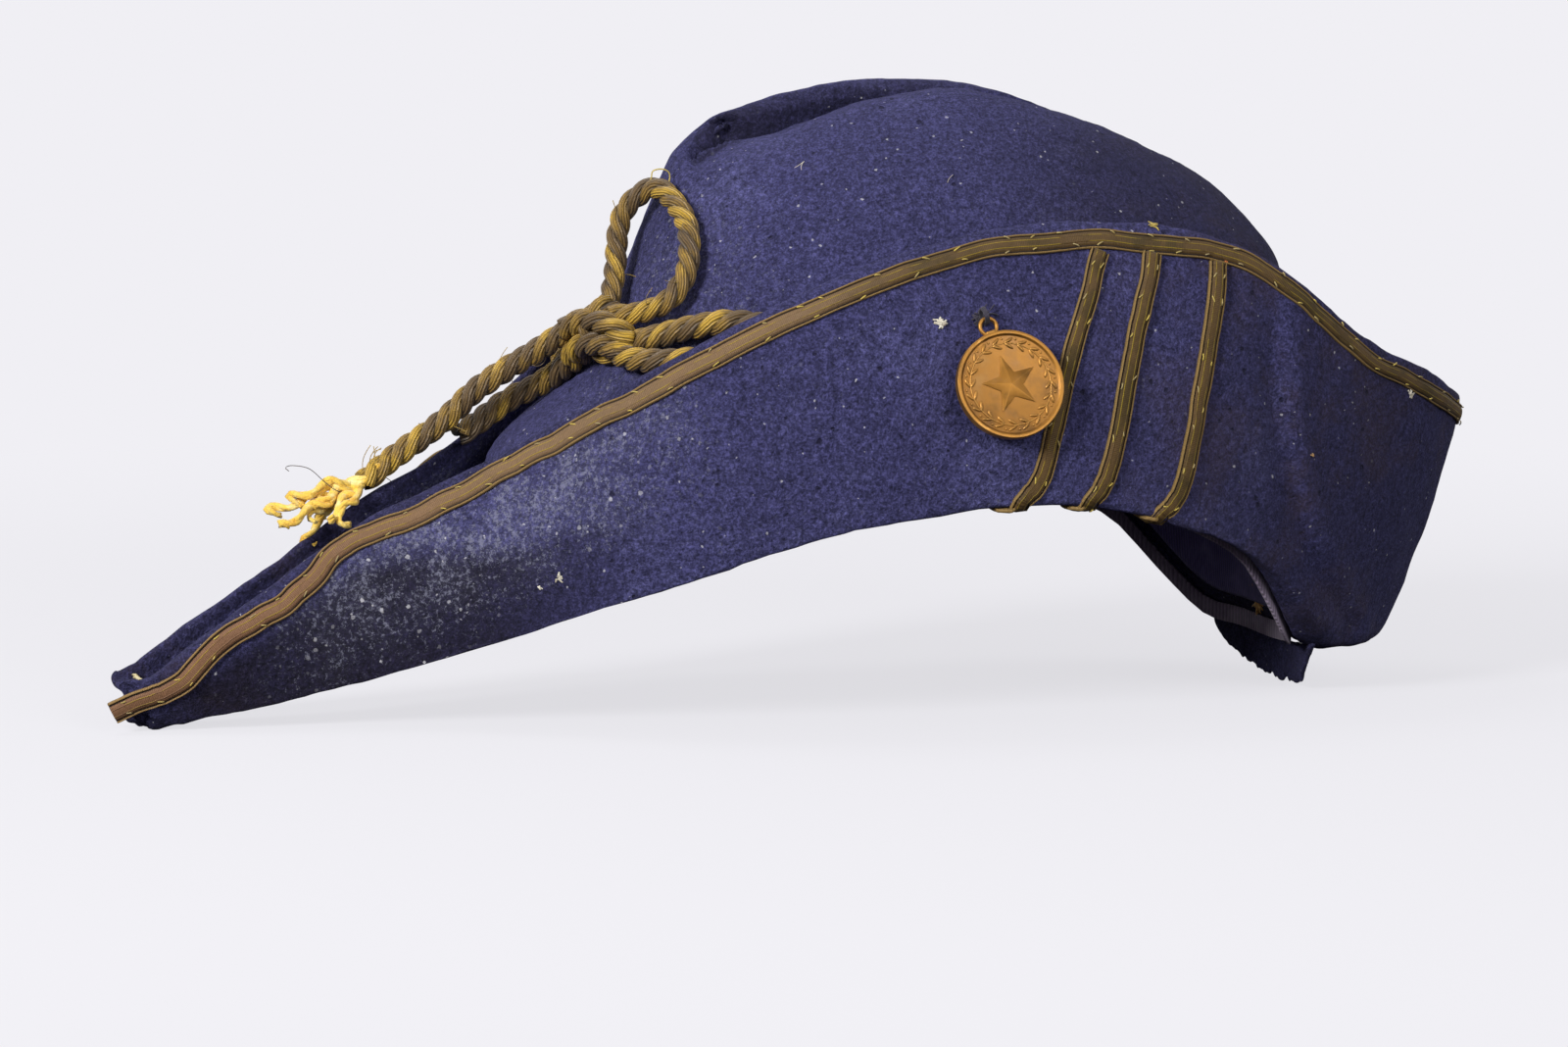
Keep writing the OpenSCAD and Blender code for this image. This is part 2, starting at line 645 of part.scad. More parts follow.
// Level of the crown on which the cord lies at an angle from the front: high behind the knot
// on the left, lower at the rear.
band_levels = [[0, 3.6], [55, 3.75], [100, 2.9], [180, 2.55], [300, 2.9], [360, 3.4]];
function band_level(angle) = lookup(angle, band_levels);
function band_point(angle) =
    let (s = band_level(angle))
    crown_point(angle, s) + (cord_d / 2 + sewn_gap) * crown_normal(angle, s);
band_first = 20;
band_last = 356;
module cord_band() {
    middle = [for (k = [0:41]) band_point(lerp(band_first, band_last, k / 41))];
    color([0.60, 0.50, 0.30])
    tube(concat([knot_at + [1.5, -4.5, 0.5]], middle, [knot_at + [-1, 4, -1]]), cord_d, [0, 0, 1]);
}
// Two turns of the cord laid round the others.
module cord_knot() {
    turn = (knot_d - cord_d) / 2;
    color([0.60, 0.50, 0.30])
    translate(knot_at)
    rotate([0, 90, 105])
    union() {
        for (side = [-1, 1])
        translate([0, 0, side * 0.35 * cord_d])
        rotate_extrude($fn = 32)
        translate([turn, 0])
        circle(d = cord_d, $fn = 16);
        cylinder(h = 1.4 * cord_d, r = turn, center = true, $fn = 32);
    }
}
module cord_bow() {
    color([0.62, 0.52, 0.30])
    tube(smooth_path(bow_route, 18), cord_d, [1, -1, 0.3]);
}
module cord_side_end() {
    color([0.58, 0.48, 0.28])
    tube(smooth_path(side_route, 6), cord_d, [0, 0, 1]);
}
module cord_long_end() {
    color([0.66, 0.55, 0.30])
    tube(smooth_path(long_route, 8), cord_d, [0, 1, 0]);
}
module cord_short_end() {
    color([0.50, 0.42, 0.26])
    tube(smooth_path(short_route, 6), cord_d, [0, 0, 1]);
}
// Yarns of the long end that have come untwisted.
module cord_fray() {
    last = long_route[len(long_route) - 1];
    run = unit(last - long_route[len(long_route) - 2]);
    root = last + (sewn_gap + yarn_d / 2) * run;
    color([0.85, 0.72, 0.28])
    union() {
        for (tip = yarn_tips)
        tube(smooth_path([root, lerp(root, tip, 0.5) + [0, 0, 1], tip], 3), yarn_d, [0, 1, 0], 6);
        translate(root) sphere(d = 1.6 * yarn_d, $fn = 24);
    }
}

// ---- medal ---------------------------------------------------------------------------------

// Frame on the wall: X along the wall, Y up it, Z out of it, turned by the medal's lean.
medal_origin = brim_outer(medal_station, medal_g);
medal_out = brim_normal(medal_station, medal_g);
medal_up = unit([0, 0, 1] - medal_out[2] * medal_out);
medal_side = cross(medal_up, medal_out);
module on_wall() {
    x = medal_side;
    y = medal_up;
    z = medal_out;
    p = medal_origin;
    multmatrix([
        [x[0], y[0], z[0], p[0]], [x[1], y[1], z[1], p[1]], [x[2], y[2], z[2], p[2]], [0, 0, 0, 1]
    ])
    rotate([0, 0, medal_tilt])
    children();
}
ring_h = medal_stand + medal_t / 2;
hanger_r = (hanger_d - hanger_wire) / 2;
loop_r = (loop_d - loop_wire) / 2;
link_play = 0.15;
// Middle of the loop's wire where it hangs in the thread: the medal's lift axis.
link_y = -hanger_r + hanger_wire / 2 + loop_wire / 2 + link_play;
disc_y = link_y - loop_r - (loop_d / 2 - 0.9 * loop_wire) - medal_d / 2;

module wire_ring(d, wire) {
    rotate_extrude($fn = 48)
    translate([(d - wire) / 2, 0])
    circle(d = wire, $fn = 16);
}
module medal_tack() {
    color([0.12, 0.11, 0.16])
    on_wall()
    translate([0, 0, 1.5 * sewn_gap])
    cylinder(h = tack_h, d = tack_d, $fn = 32);
}
module medal_thread() {
    color([0.10, 0.09, 0.14])
    on_wall()
    translate([0, 0, ring_h])
    rotate([0, 90, 0])
    wire_ring(hanger_d, hanger_wire);
}
module star(r) {
    polygon([for (k = [0:9]) let (q = k % 2 == 0 ? r : 0.45 * r) q * [sin(36 * k), cos(36 * k)]]);
}
module medal() {
    field = medal_t - medal_rim_h;
    wreath_r = medal_d / 2 - medal_rim_w - leaf_l / 2 - 0.6;
    color([0.55, 0.36, 0.16])
    on_wall() {
        translate([0, link_y - loop_r, ring_h]) wire_ring(loop_d, loop_wire);
        translate([0, disc_y, ring_h - medal_t / 2]) {
            cylinder(h = field, d = medal_d, $fn = 96);
            difference() {
                cylinder(h = medal_t, d = medal_d, $fn = 96);
                translate([0, 0, -1]) cylinder(h = medal_t + 2, d = medal_d - 2 * medal_rim_w, $fn = 96);
            }
            translate([0, 0, field - 0.1]) linear_extrude(medal_rim_h + 0.1) star(star_r);
            for (k = [0:leaf_count - 1])
            rotate([0, 0, 360 * k / leaf_count])
            translate([wreath_r, 0, field - 0.1])
            rotate([0, 0, 65])
            linear_extrude(0.8 * medal_rim_h + 0.1)
            polygon([[-leaf_l / 2, 0], [0, 0.28 * leaf_l], [leaf_l / 2, 0], [0, -0.28 * leaf_l]]);
        }
    }
}

crown();
brim();
nape_strip();
sweatband();
head_tape();
edge_braid();
stripe_braid(0);  // stripe_braid_front
stripe_braid(1);  // stripe_braid_middle
stripe_braid(2);  // stripe_braid_rear
edge_stitches();
stripe_stitches();
tip_tack();
cord_band();
cord_knot();
cord_bow();
cord_side_end();
cord_long_end();
cord_short_end();
cord_fray();
medal_tack();
medal_thread();
medal();
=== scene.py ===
import bpy
import bmesh
import json
import math
import random
from mathutils import Vector, Matrix, noise
from mathutils.bvhtree import BVHTree


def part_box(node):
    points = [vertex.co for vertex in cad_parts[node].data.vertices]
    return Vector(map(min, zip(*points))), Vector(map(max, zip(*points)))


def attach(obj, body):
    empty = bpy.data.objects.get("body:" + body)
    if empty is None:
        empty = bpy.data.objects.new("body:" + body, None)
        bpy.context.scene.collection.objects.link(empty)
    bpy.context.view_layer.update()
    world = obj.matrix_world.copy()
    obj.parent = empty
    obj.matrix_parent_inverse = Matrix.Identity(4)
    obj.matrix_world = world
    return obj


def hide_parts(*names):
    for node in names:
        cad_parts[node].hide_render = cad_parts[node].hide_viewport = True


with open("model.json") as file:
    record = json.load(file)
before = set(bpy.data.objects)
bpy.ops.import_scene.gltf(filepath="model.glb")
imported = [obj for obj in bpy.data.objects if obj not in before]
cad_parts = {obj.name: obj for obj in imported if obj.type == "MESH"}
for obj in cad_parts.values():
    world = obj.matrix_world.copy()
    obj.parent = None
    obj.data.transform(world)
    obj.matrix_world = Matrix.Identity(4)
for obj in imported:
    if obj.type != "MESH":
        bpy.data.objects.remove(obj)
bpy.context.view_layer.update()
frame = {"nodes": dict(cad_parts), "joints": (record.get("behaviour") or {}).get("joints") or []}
scene = bpy.context.scene
mm = 0.001


# camera

cameraSet = {
    "azimuth": -17.0,     # degrees round the hat, 0 looks along +Y
    "elevation": 8.0,
    "distance": 1.7,
    "aimRight": -0.0251,  # where it looks, in its own right and up directions
    "aimUp": 0.0481,
    "lens": 141.67,
}


def placeCamera(setup):
    turn = math.radians(setup["azimuth"])
    lift = math.radians(setup["elevation"])
    back = Vector((math.sin(turn) * math.cos(lift), -math.cos(turn) * math.cos(lift), math.sin(lift)))
    right = Vector((math.cos(turn), math.sin(turn), 0))
    up = back.cross(right)
    place = back * setup["distance"]
    aim = right * setup["aimRight"] + up * setup["aimUp"]
    data = bpy.data.cameras.new("hatCamera")
    data.lens = setup["lens"]
    data.sensor_width = 36
    data.clip_start = 0.05
    camera = bpy.data.objects.new("hatCamera", data)
    camera.location = place
    camera.rotation_euler = (aim - place).to_track_quat("-Z", "Y").to_euler()
    scene.collection.objects.link(camera)
    scene.camera = camera
    return camera


placeCamera(cameraSet)
print("camera placed")


# small helpers for pieces

def finishPiece(name, bm, body, material, replaced=(), smooth=True):
    # the mesh becomes a piece on its body, in place of the CAD nodes it stands for
    mesh = bpy.data.meshes.new(name)
    bm.to_mesh(mesh)
    bm.free()
    if smooth:
        mesh.shade_smooth()
    piece = bpy.data.objects.new(name, mesh)
    scene.collection.objects.link(piece)
    mesh.materials.append(material)
    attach(piece, body)
    if replaced:
        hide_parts(*replaced)
    return piece


def routePoint(points, where):
    # smooth curve through the points, carried on straight at its ends
    last = len(points) - 1
    index = min(int(where), last - 1)
    t = where - index
    b, c = points[index], points[index + 1]
    a = points[index - 1] if index > 0 else 2 * b - c
    d = points[index + 2] if index + 2 <= last else 2 * c - b
    return 0.5 * (2 * b + (c - a) * t + (2 * a - 5 * b + 4 * c - d) * t * t
                  + (3 * b - a - 3 * c + d) * t * t * t)


def smoothRoute(places, gap):
    # places in millimetres, evenly spaced points in metres
    points = [Vector(place) * mm for place in places]
    fine = [routePoint(points, k / 24) for k in range(24 * (len(points) - 1) + 1)]
    lengths = [0.0]
    for before, here in zip(fine, fine[1:]):
        lengths.append(lengths[-1] + (here - before).length)
    count = max(int(lengths[-1] / gap), 2)
    route = []
    index = 0
    for k in range(count + 1):
        want = lengths[-1] * k / count
        while index < len(lengths) - 2 and lengths[index + 1] < want:
            index += 1
        span = lengths[index + 1] - lengths[index]
        route.append(fine[index].lerp(fine[index + 1], (want - lengths[index]) / span if span else 0))
    return route


def runAt(route, k):
    return (route[min(k + 1, len(route) - 1)] - route[max(k - 1, 0)]).normalized()


def rollingFrames(route, ups=None):
    # one matrix per point: x across, y up, z along; without ups it rolls on without twist
    frames = []
    up = None
    for k, point in enumerate(route):
        run = runAt(route, k)
        if ups is not None:
            up = ups[k]
        elif up is None:
            up = Vector((0, 0, 1)) if abs(run.z) < 0.8 else Vector((0, 1, 0))
        up = (up - run * up.dot(run)).normalized()
        across = up.cross(run)
        matrix = Matrix((across, up, run)).transposed().to_4x4()
        matrix.translation = point
        frames.append(matrix)
    return frames


def sweep(bm, profile, frames, gaps, scales=None, closed=True, mark=0.0, flat=False):
    # the profile's ring is extruded from frame to frame; uv keeps metres across and along
    index = bm.verts.layers.int.get("ringIndex") or bm.verts.layers.int.new("ringIndex")
    along = bm.verts.layers.float.get("along") or bm.verts.layers.float.new("along")
    shade = bm.verts.layers.float.get("shade") or bm.verts.layers.float.new("shade")
    work = bmesh.new()
    workIndex = work.verts.layers.int.new("ringIndex")
    workAlong = work.verts.layers.float.new("along")
    workShade = work.verts.layers.float.new("shade")
    count = len(profile)
    steps = [0.0]
    for i in range(1, count + 1):
        a, b = profile[i - 1], profile[i % count]
        steps.append(steps[-1] + math.hypot(b[0] - a[0], b[1] - a[1]))
    if flat:
        steps = [x for x, y in profile] + [profile[0][0]]
    ring = []
    for i, (x, y) in enumerate(profile):
        corner = work.verts.new(frames[0] @ Vector((x, y, 0)))
        corner[workIndex] = i
        corner[workShade] = mark
        ring.append(corner)
    edges = [work.edges.new((ring[i], ring[(i + 1) % count])) for i in range(count if closed else count - 1)]
    first = list(edges)
    length = 0.0
    for k in range(1, len(frames)):
        made = bmesh.ops.extrude_edge_only(work, edges=edges)["geom"]
        fresh = [item for item in made if isinstance(item, bmesh.types.BMVert)]
        freshSet = set(fresh)
        edges = [item for item in made if isinstance(item, bmesh.types.BMEdge)
                 and item.verts[0] in freshSet and item.verts[1] in freshSet]
        length += gaps
        size = scales[k] if scales else 1.0
        for corner in fresh:
            x, y = profile[corner[workIndex]]
            corner.co = frames[k] @ Vector((x * size, y * size, 0))
            corner[workAlong] = length
    if closed:
        bmesh.ops.contextual_create(work, geom=first)
        bmesh.ops.contextual_create(work, geom=edges)
    bmesh.ops.recalc_face_normals(work, faces=work.faces)
    uv = work.loops.layers.uv.new("strip")
    for face in work.faces:
        numbers = [loop.vert[workIndex] for loop in face.loops]
        wraps = closed and max(numbers) == count - 1 and min(numbers) == 0 and len(numbers) == 4
        for loop in face.loops:
            number = loop.vert[workIndex]
            if wraps and number == 0:
                number = count
            loop[uv].uv = (steps[number], loop.vert[workAlong])
    joined = bpy.data.meshes.new("joined")
    work.to_mesh(joined)
    work.free()
    bm.from_mesh(joined)
    bpy.data.meshes.remove(joined)


def circleProfile(radius, sides):
    return [(radius * math.cos(2 * math.pi * k / sides), radius * math.sin(2 * math.pi * k / sides))
            for k in range(sides)]


# colours and shader parts

def tone(red, green, blue):
    # screen colour 0..255 as the linear value that a socket takes
    def line(value):
        value /= 255
        return value / 12.92 if value <= 0.04045 else ((value + 0.055) / 1.055) ** 2.4
    return (line(red), line(green), line(blue), 1.0)


def blendTone(first, second, share):
    return tuple(a + (b - a) * share for a, b in zip(first, second))


def addNode(tree, kind, **settings):
    node = tree.nodes.new(kind)
    for key, value in settings.items():
        if key == "inputs":
            for socket, amount in value.items():
                node.inputs[socket].default_value = amount
        else:
            setattr(node, key, value)
    return node


def calc(tree, operation, a, b=None, clamp=False):
    node = tree.nodes.new("ShaderNodeMath")
    node.operation = operation
    node.use_clamp = clamp
    for socket, value in zip(node.inputs, (a, b)):
        if value is None:
            continue
        if isinstance(value, (int, float)):
            socket.default_value = value
        else:
            tree.links.new(value, socket)
    return node.outputs[0]


def blendColor(tree, share, first, second, mode="MIX"):
    node = tree.nodes.new("ShaderNodeMix")
    node.data_type = "RGBA"
    node.blend_type = mode
    node.clamp_factor = True
    for socket, value in ((node.inputs[0], share), (node.inputs[6], first), (node.inputs[7], second)):
        if isinstance(value, (int, float, tuple)):
            socket.default_value = value
        else:
            tree.links.new(value, socket)
    return node.outputs[2]


def ramp(tree, value, stops, smooth="EASE"):
    # stops are (place, grey or colour)
    node = tree.nodes.new("ShaderNodeValToRGB")
    node.color_ramp.interpolation = smooth
    elements = node.color_ramp.elements
    while len(elements) < len(stops):
        elements.new(0.5)
    for element, (place, colour) in zip(elements, stops):
        element.position = place
        element.color = colour if isinstance(colour, tuple) else (colour, colour, colour, 1)
    tree.links.new(value, node.inputs[0])
    return node.outputs[0]


def newGroup(name, inputs, outputs):
    group = bpy.data.node_groups.new(name, "ShaderNodeTree")
    for label, kind, default in inputs:
        socket = group.interface.new_socket(name=label, in_out="INPUT", socket_type=kind)
        if default is not None:
            socket.default_value = default
    for label, kind in outputs:
        group.interface.new_socket(name=label, in_out="OUTPUT", socket_type=kind)
    return group, group.nodes.new("NodeGroupInput"), group.nodes.new("NodeGroupOutput")


def noiseOut(tree, vector, scale, detail=3.0, rough=0.55, output="Factor"):
    node = tree.nodes.new("ShaderNodeTexNoise")
    node.inputs["Detail"].default_value = detail
    node.inputs["Roughness"].default_value = rough
    if isinstance(scale, (int, float)):
        node.inputs["Scale"].default_value = scale
    else:
        tree.links.new(scale, node.inputs["Scale"])
    tree.links.new(vector, node.inputs["Vector"])
    return node.outputs[0] if output == "Factor" else node.outputs["Color"]


def buildSpecks():
    # small flecks scattered at random: lint when light, painted shade in pits when dark
    group, given, result = newGroup(
        "scatteredSpecks",
        [("Vector", "NodeSocketVector", None), ("Density", "NodeSocketFloat", 250.0),
         ("Size", "NodeSocketFloat", 0.15), ("Share", "NodeSocketFloat", 0.3)],
        [("Mask", "NodeSocketFloat")])
    wobble = noiseOut(group, given.outputs["Vector"], 900.0, 2.0, output="Color")
    shift = addNode(group, "ShaderNodeVectorMath", operation="MULTIPLY_ADD")
    shift.inputs[1].default_value = (0.0012, 0.0012, 0.0012)
    group.links.new(wobble, shift.inputs[0])
    group.links.new(given.outputs["Vector"], shift.inputs[2])
    cells = addNode(group, "ShaderNodeTexVoronoi", feature="F1")
    group.links.new(shift.outputs[0], cells.inputs["Vector"])
    group.links.new(given.outputs["Density"], cells.inputs["Scale"])
    parts = addNode(group, "ShaderNodeSeparateColor")
    group.links.new(cells.outputs["Color"], parts.inputs[0])
    chosen = calc(group, "LESS_THAN", parts.outputs[0], given.outputs["Share"])
    reach = calc(group, "MULTIPLY", given.outputs["Size"], parts.outputs[1])
    depth = calc(group, "SUBTRACT", reach, cells.outputs["Distance"])
    edge = calc(group, "MULTIPLY", depth, 14.0, clamp=True)
    group.links.new(calc(group, "MULTIPLY", edge, chosen), result.inputs["Mask"])
    return group


def buildFeltGrain():
    # matted wool: fine fibres over soft lumps
    group, given, result = newGroup(
        "feltGrain",
        [("Vector", "NodeSocketVector", None), ("Fibre", "NodeSocketFloat", 1500.0),
         ("Lump", "NodeSocketFloat", 620.0)],
        [("Height", "NodeSocketFloat"), ("Tone", "NodeSocketFloat")])
    fibre = noiseOut(group, given.outputs["Vector"], given.outputs["Fibre"], 3.0, 0.7)
    lump = noiseOut(group, given.outputs["Vector"], given.outputs["Lump"], 4.0, 0.6)
    height = calc(group, "ADD", calc(group, "MULTIPLY", fibre, 0.45), calc(group, "MULTIPLY", lump, 0.8))
    group.links.new(height, result.inputs["Height"])
    mixed = calc(group, "ADD", calc(group, "MULTIPLY", fibre, 0.6), calc(group, "MULTIPLY", lump, 0.4))
    group.links.new(mixed, result.inputs["Tone"])
    return group


speckGroup = buildSpecks()
feltGrainGroup = buildFeltGrain()


def useGroup(tree, group, vector, **values):
    node = tree.nodes.new("ShaderNodeGroup")
    node.node_tree = group
    tree.links.new(vector, node.inputs["Vector"])
    for label, value in values.items():
        node.inputs[label].default_value = value
    return node


def startMaterial(name, roughness, **sockets):
    material = bpy.data.materials.new(name)
    material.use_nodes = True
    tree = material.node_tree
    shader = tree.nodes["Principled BSDF"]
    shader.inputs["Roughness"].default_value = roughness
    for label, value in sockets.items():
        shader.inputs[label.replace("_", " ")].default_value = value
    return material, tree, shader


def addBump(tree, shader, height, strength, distance, below=None):
    bump = tree.nodes.new("ShaderNodeBump")
    bump.inputs["Strength"].default_value = strength
    bump.inputs["Distance"].default_value = distance
    tree.links.new(height, bump.inputs["Height"])
    if below is not None:
        tree.links.new(below, bump.inputs["Normal"])
    tree.links.new(bump.outputs[0], shader.inputs["Normal"])
    return bump.outputs[0]


def objectVector(tree):
    return tree.nodes.new("ShaderNodeTexCoord").outputs["Object"]


def axisFade(tree, vector, axis, start, end):
    # 0 to 1 between two places along x, y or z
    parts = addNode(tree, "ShaderNodeSeparateXYZ")
    tree.links.new(vector, parts.inputs[0])
    node = addNode(tree, "ShaderNodeMapRange", interpolation_type="SMOOTHSTEP")
    node.inputs["From Min"].default_value = min(start, end)
    node.inputs["From Max"].default_value = max(start, end)
    node.inputs["To Min"].default_value = 0.0 if start < end else 1.0
    node.inputs["To Max"].default_value = 1.0 if start < end else 0.0
    tree.links.new(parts.outputs["XYZ".index(axis)], node.inputs["Value"])
    return node.outputs[0]


# cords

cordSet = {
    "diameter": 6.4 * mm,
    "lay": 15.0 * mm,         # one full turn of a strand
    "strandRadius": 0.285,    # of the cord's diameter
    "strandOut": 0.25,
    "sides": 12,
    "gap": 0.8 * mm,
    "yarn": 0.00046,          # half the width of a yarn
    "yellow": tone(216, 174, 62),
    "gold": tone(158, 124, 52),
    "brown": tone(104, 82, 50),
    "dark": tone(36, 24, 14),
}


def ropeMesh(bm, route, setup, start=0.0, thin=1.0):
    # three strands wound round the route, each rising to the left
    middle = rollingFrames(route)
    before = len(bm.verts)
    gap = (route[1] - route[0]).length
    for strand in range(3):
        path = []
        scales = []
        for k, matrix in enumerate(middle):
            angle = start + 2 * math.pi * (strand / 3 - k * gap / setup["lay"])
            out = setup["strandOut"] * setup["diameter"] * thin
            path.append(matrix @ Vector((out * math.cos(angle), out * math.sin(angle), 0)))
            scales.append(thin * (1 + 0.07 * noise.noise(route[k] * 140 + Vector((strand * 5, 0, 0)))))
        profile = circleProfile(setup["strandRadius"] * setup["diameter"], setup["sides"])
        sweep(bm, profile, rollingFrames(path), gap, scales, mark=strand / 2)
    # how deep between the strands each point lies, for painted shade in the crevices
    creviceShade = bm.verts.layers.float.get("creviceShade") or bm.verts.layers.float.new("creviceShade")
    along = bm.verts.layers.float["along"]
    bm.verts.ensure_lookup_table()
    size = setup["diameter"] * thin
    for corner in bm.verts[before:]:
        place = route[min(round(corner[along] / gap), len(route) - 1)]
        corner[creviceShade] = min(max((0.5 - (corner.co - place).length / size) / 0.14, 0), 1)


def cordMaterial(name, setup, paintedShadeShift):
    material, tree, shader = startMaterial(name, 0.55, Sheen_Weight=0.08, Sheen_Roughness=0.4)
    vector = objectVector(tree)
    uvNode = addNode(tree, "ShaderNodeUVMap", uv_map="strip")
    parts = addNode(tree, "ShaderNodeSeparateXYZ")
    tree.links.new(uvNode.outputs[0], parts.inputs[0])
    # yarns run along each strand
    wobble = calc(tree, "MULTIPLY", noiseOut(tree, vector, 420.0, 2.0), 0.0007)
    place = calc(tree, "ADD", parts.outputs[0], wobble)
    yarn = calc(tree, "PINGPONG", place, setup["yarn"])
    ridge = calc(tree, "MULTIPLY", yarn, 1 / setup["yarn"])
    fine = noiseOut(tree, vector, 1500.0, 2.0)
    shade = addNode(tree, "ShaderNodeAttribute", attribute_name="shade")
    patch = noiseOut(tree, vector, 85.0, 4.0)
    mixed = calc(tree, "ADD", calc(tree, "MULTIPLY", shade.outputs["Fac"], 0.3),
                 calc(tree, "MULTIPLY", patch, 1.5))
    fresh = calc(tree, "MULTIPLY", axisFade(tree, vector, "X", -0.115, -0.142), -0.4)
    # the shift is painted shade on the short end's copy; the noise and strand marks are wear
    worn = calc(tree, "ADD", calc(tree, "ADD", mixed, paintedShadeShift - 0.22), fresh)
    base = ramp(tree, worn, [(0.45, setup["yellow"]), (0.62, setup["gold"]), (0.85, setup["brown"])])
    varied = blendColor(tree, calc(tree, "MULTIPLY", fine, 0.35), base, setup["brown"])
    # painted shade in the grooves between yarns
    groove = ramp(tree, ridge, [(0.0, 1.0), (0.45, 0.0)])
    lined = blendColor(tree, calc(tree, "MULTIPLY", groove, 0.7), varied, setup["dark"])
    # painted shade in the crevices between strands
    creviceShade = addNode(tree, "ShaderNodeAttribute", attribute_name="creviceShade")
    lined = blendColor(tree, calc(tree, "MULTIPLY", creviceShade.outputs["Fac"], 0.95), lined, setup["dark"])
    tree.links.new(lined, shader.inputs["Base Color"])
    height = calc(tree, "ADD", ridge, calc(tree, "MULTIPLY", fine, 0.5))
    addBump(tree, shader, height, 0.75, 0.0005)
    return material


cordFinish = cordMaterial("twistedGoldCord", cordSet, 0.0)
# darker copy as painted shade for the short end, which lies in the trough
cordShade = cordMaterial("shadedGoldCord", cordSet, 0.16)


bowRoute = [
    (-80, -22, 109), (-74, -27, 110), (-68, -32, 113), (-63, -32, 119), (-61, -30, 125),
    (-60, -25, 132), (-61, -17, 138), (-64, -9, 142), (-68, -5, 140), (-72, -3, 135),
    (-74, -4, 128), (-75, -6, 121), (-77, -9, 114), (-80, -13, 109)
]
sideRoute = [
    (-80, -20, 102), (-79, -26, 99), (-76, -32, 98), (-70, -39, 98), (-62, -46, 99),
    (-53, -53, 100), (-44, -59, 102)
]
longRoute = [
    (-85, -13, 106), (-90, -7, 103), (-96, -1, 98), (-103, 4, 93), (-111, 7, 87),
    (-118, 9, 80), (-126, 10, 74), (-133, 11, 69), (-141, 10, 63)
]
shortRoute = [
    (-83, -11, 100), (-86, -4, 96), (-89, 3, 92), (-93, 9, 88), (-100, 13, 84),
    (-107, 14, 79), (-114, 12, 75)
]
yarnTips = [(-157, 4, 57), (-168, 8, 56), (-166, -1, 53), (-158, 8, 48), (-153, -3, 54)]


def routeLength(route):
    return sum((b - a).length for a, b in zip(route, route[1:]))


def ropePiece(name, places, material, node, start=0.0, thin=1.0):
    route = smoothRoute(places, cordSet["gap"])
    bm = bmesh.new()
    ropeMesh(bm, route, cordSet, start, thin)
    return finishPiece(name, bm, "hat", material, (node,)), route


def knotPiece(routes):
    # short runs of the same cord that cross where it is tied
    bm = bmesh.new()
    for number, places in enumerate(routes):
        ropeMesh(bm, smoothRoute(places, cordSet["gap"]), cordSet, 0.6 + 1.9 * number, 0.97)
    return finishPiece("cordKnot", bm, "hat", cordFinish, ("cord_knot",))


def frayPiece(setup, last, run):
    # untwisted yarns: each one is two plies that wind loosely and curl at the end
    dice = random.Random(setup["seed"])
    bm = bmesh.new()
    root = last
    for number, tip in enumerate(yarnTips * 2):
        end = Vector(tip) * mm
        if number >= len(yarnTips):
            end = root.lerp(end, dice.uniform(0.55, 0.95)) + Vector(
                (dice.uniform(-2, 2), dice.uniform(-4, 4), dice.uniform(-2, 3))) * mm
        middle = root.lerp(end, 0.5) + Vector((0, dice.uniform(-3, 3), dice.uniform(0, 3))) * mm
        start = root - run * dice.uniform(2, 6) * mm + Vector(
            (dice.uniform(-1, 1), dice.uniform(-1.6, 1.6), dice.uniform(-1.4, 1.4))) * mm
        curl = end + Vector((dice.uniform(1, 4), dice.uniform(-2, 2), dice.uniform(-2.5, 1))) * mm
        places = [start / mm, root.lerp(middle, 0.4) / mm, middle / mm, end / mm, curl / mm]
        base = smoothRoute(places, 0.9 * mm)
        loose = []
        for k, point in enumerate(base):
            wave = Vector((0, 0.9 * math.sin(k * 0.55 + number), 0.9 * math.cos(k * 0.48 + number)))
            loose.append(point + wave * mm * min(k / 6, 1))
        frames = rollingFrames(loose)
        gap = routeLength(loose) / (len(loose) - 1)
        for ply in range(2):
            path = [matrix @ Vector((0.42 * mm * math.cos(k * 0.5 + math.pi * ply),
                                     0.42 * mm * math.sin(k * 0.5 + math.pi * ply), 0))
                    for k, matrix in enumerate(frames)]
            sizes = [1 + 0.3 * noise.noise(point * 500) - 0.5 * (k / len(path)) ** 6
                     for k, point in enumerate(path)]
            sweep(bm, circleProfile(setup["ply"], 7), rollingFrames(path), gap, sizes, mark=dice.random())
    return finishPiece("cordFray", bm, "hat", frayFinish, ("cord_fray",))


def strayFibres(name, roots, setup, material):
    # single loose fibres that stand off the cord
    dice = random.Random(setup["seed"])
    bm = bmesh.new()
    for root in roots:
        for number in range(setup["count"]):
            heading = Vector((dice.uniform(-1, 1), dice.uniform(-1, 1), dice.uniform(-0.6, 1))).normalized()
            bend = Vector((dice.uniform(-1, 1), dice.uniform(-1, 1), dice.uniform(-1, 1)))
            reach = dice.uniform(*setup["length"])
            point = root + heading * setup["out"]
            path = [point]
            for step in range(7):
                heading = (heading + bend * 0.35).normalized()
                point = point + heading * reach / 7
                path.append(point)
            sweep(bm, circleProfile(setup["radius"], 4), rollingFrames(path), reach / 7)
    return finishPiece(name, bm, "hat", material)


frayFinish, frayTree, frayShader = startMaterial(
    "frayedYarn", 0.85, Sheen_Weight=0.4, Sheen_Roughness=0.5)
frayVector = objectVector(frayTree)
frayNoise = noiseOut(frayTree, frayVector, 260.0, 4.0)
frayBase = ramp(frayTree, frayNoise, [(0.3, tone(222, 168, 52)), (0.5, tone(246, 204, 82)),
                                      (0.72, tone(252, 230, 156))])
frayTree.links.new(frayBase, frayShader.inputs["Base Color"])
addBump(frayTree, frayShader, noiseOut(frayTree, frayVector, 1700.0, 3.0), 0.8, 0.0005)

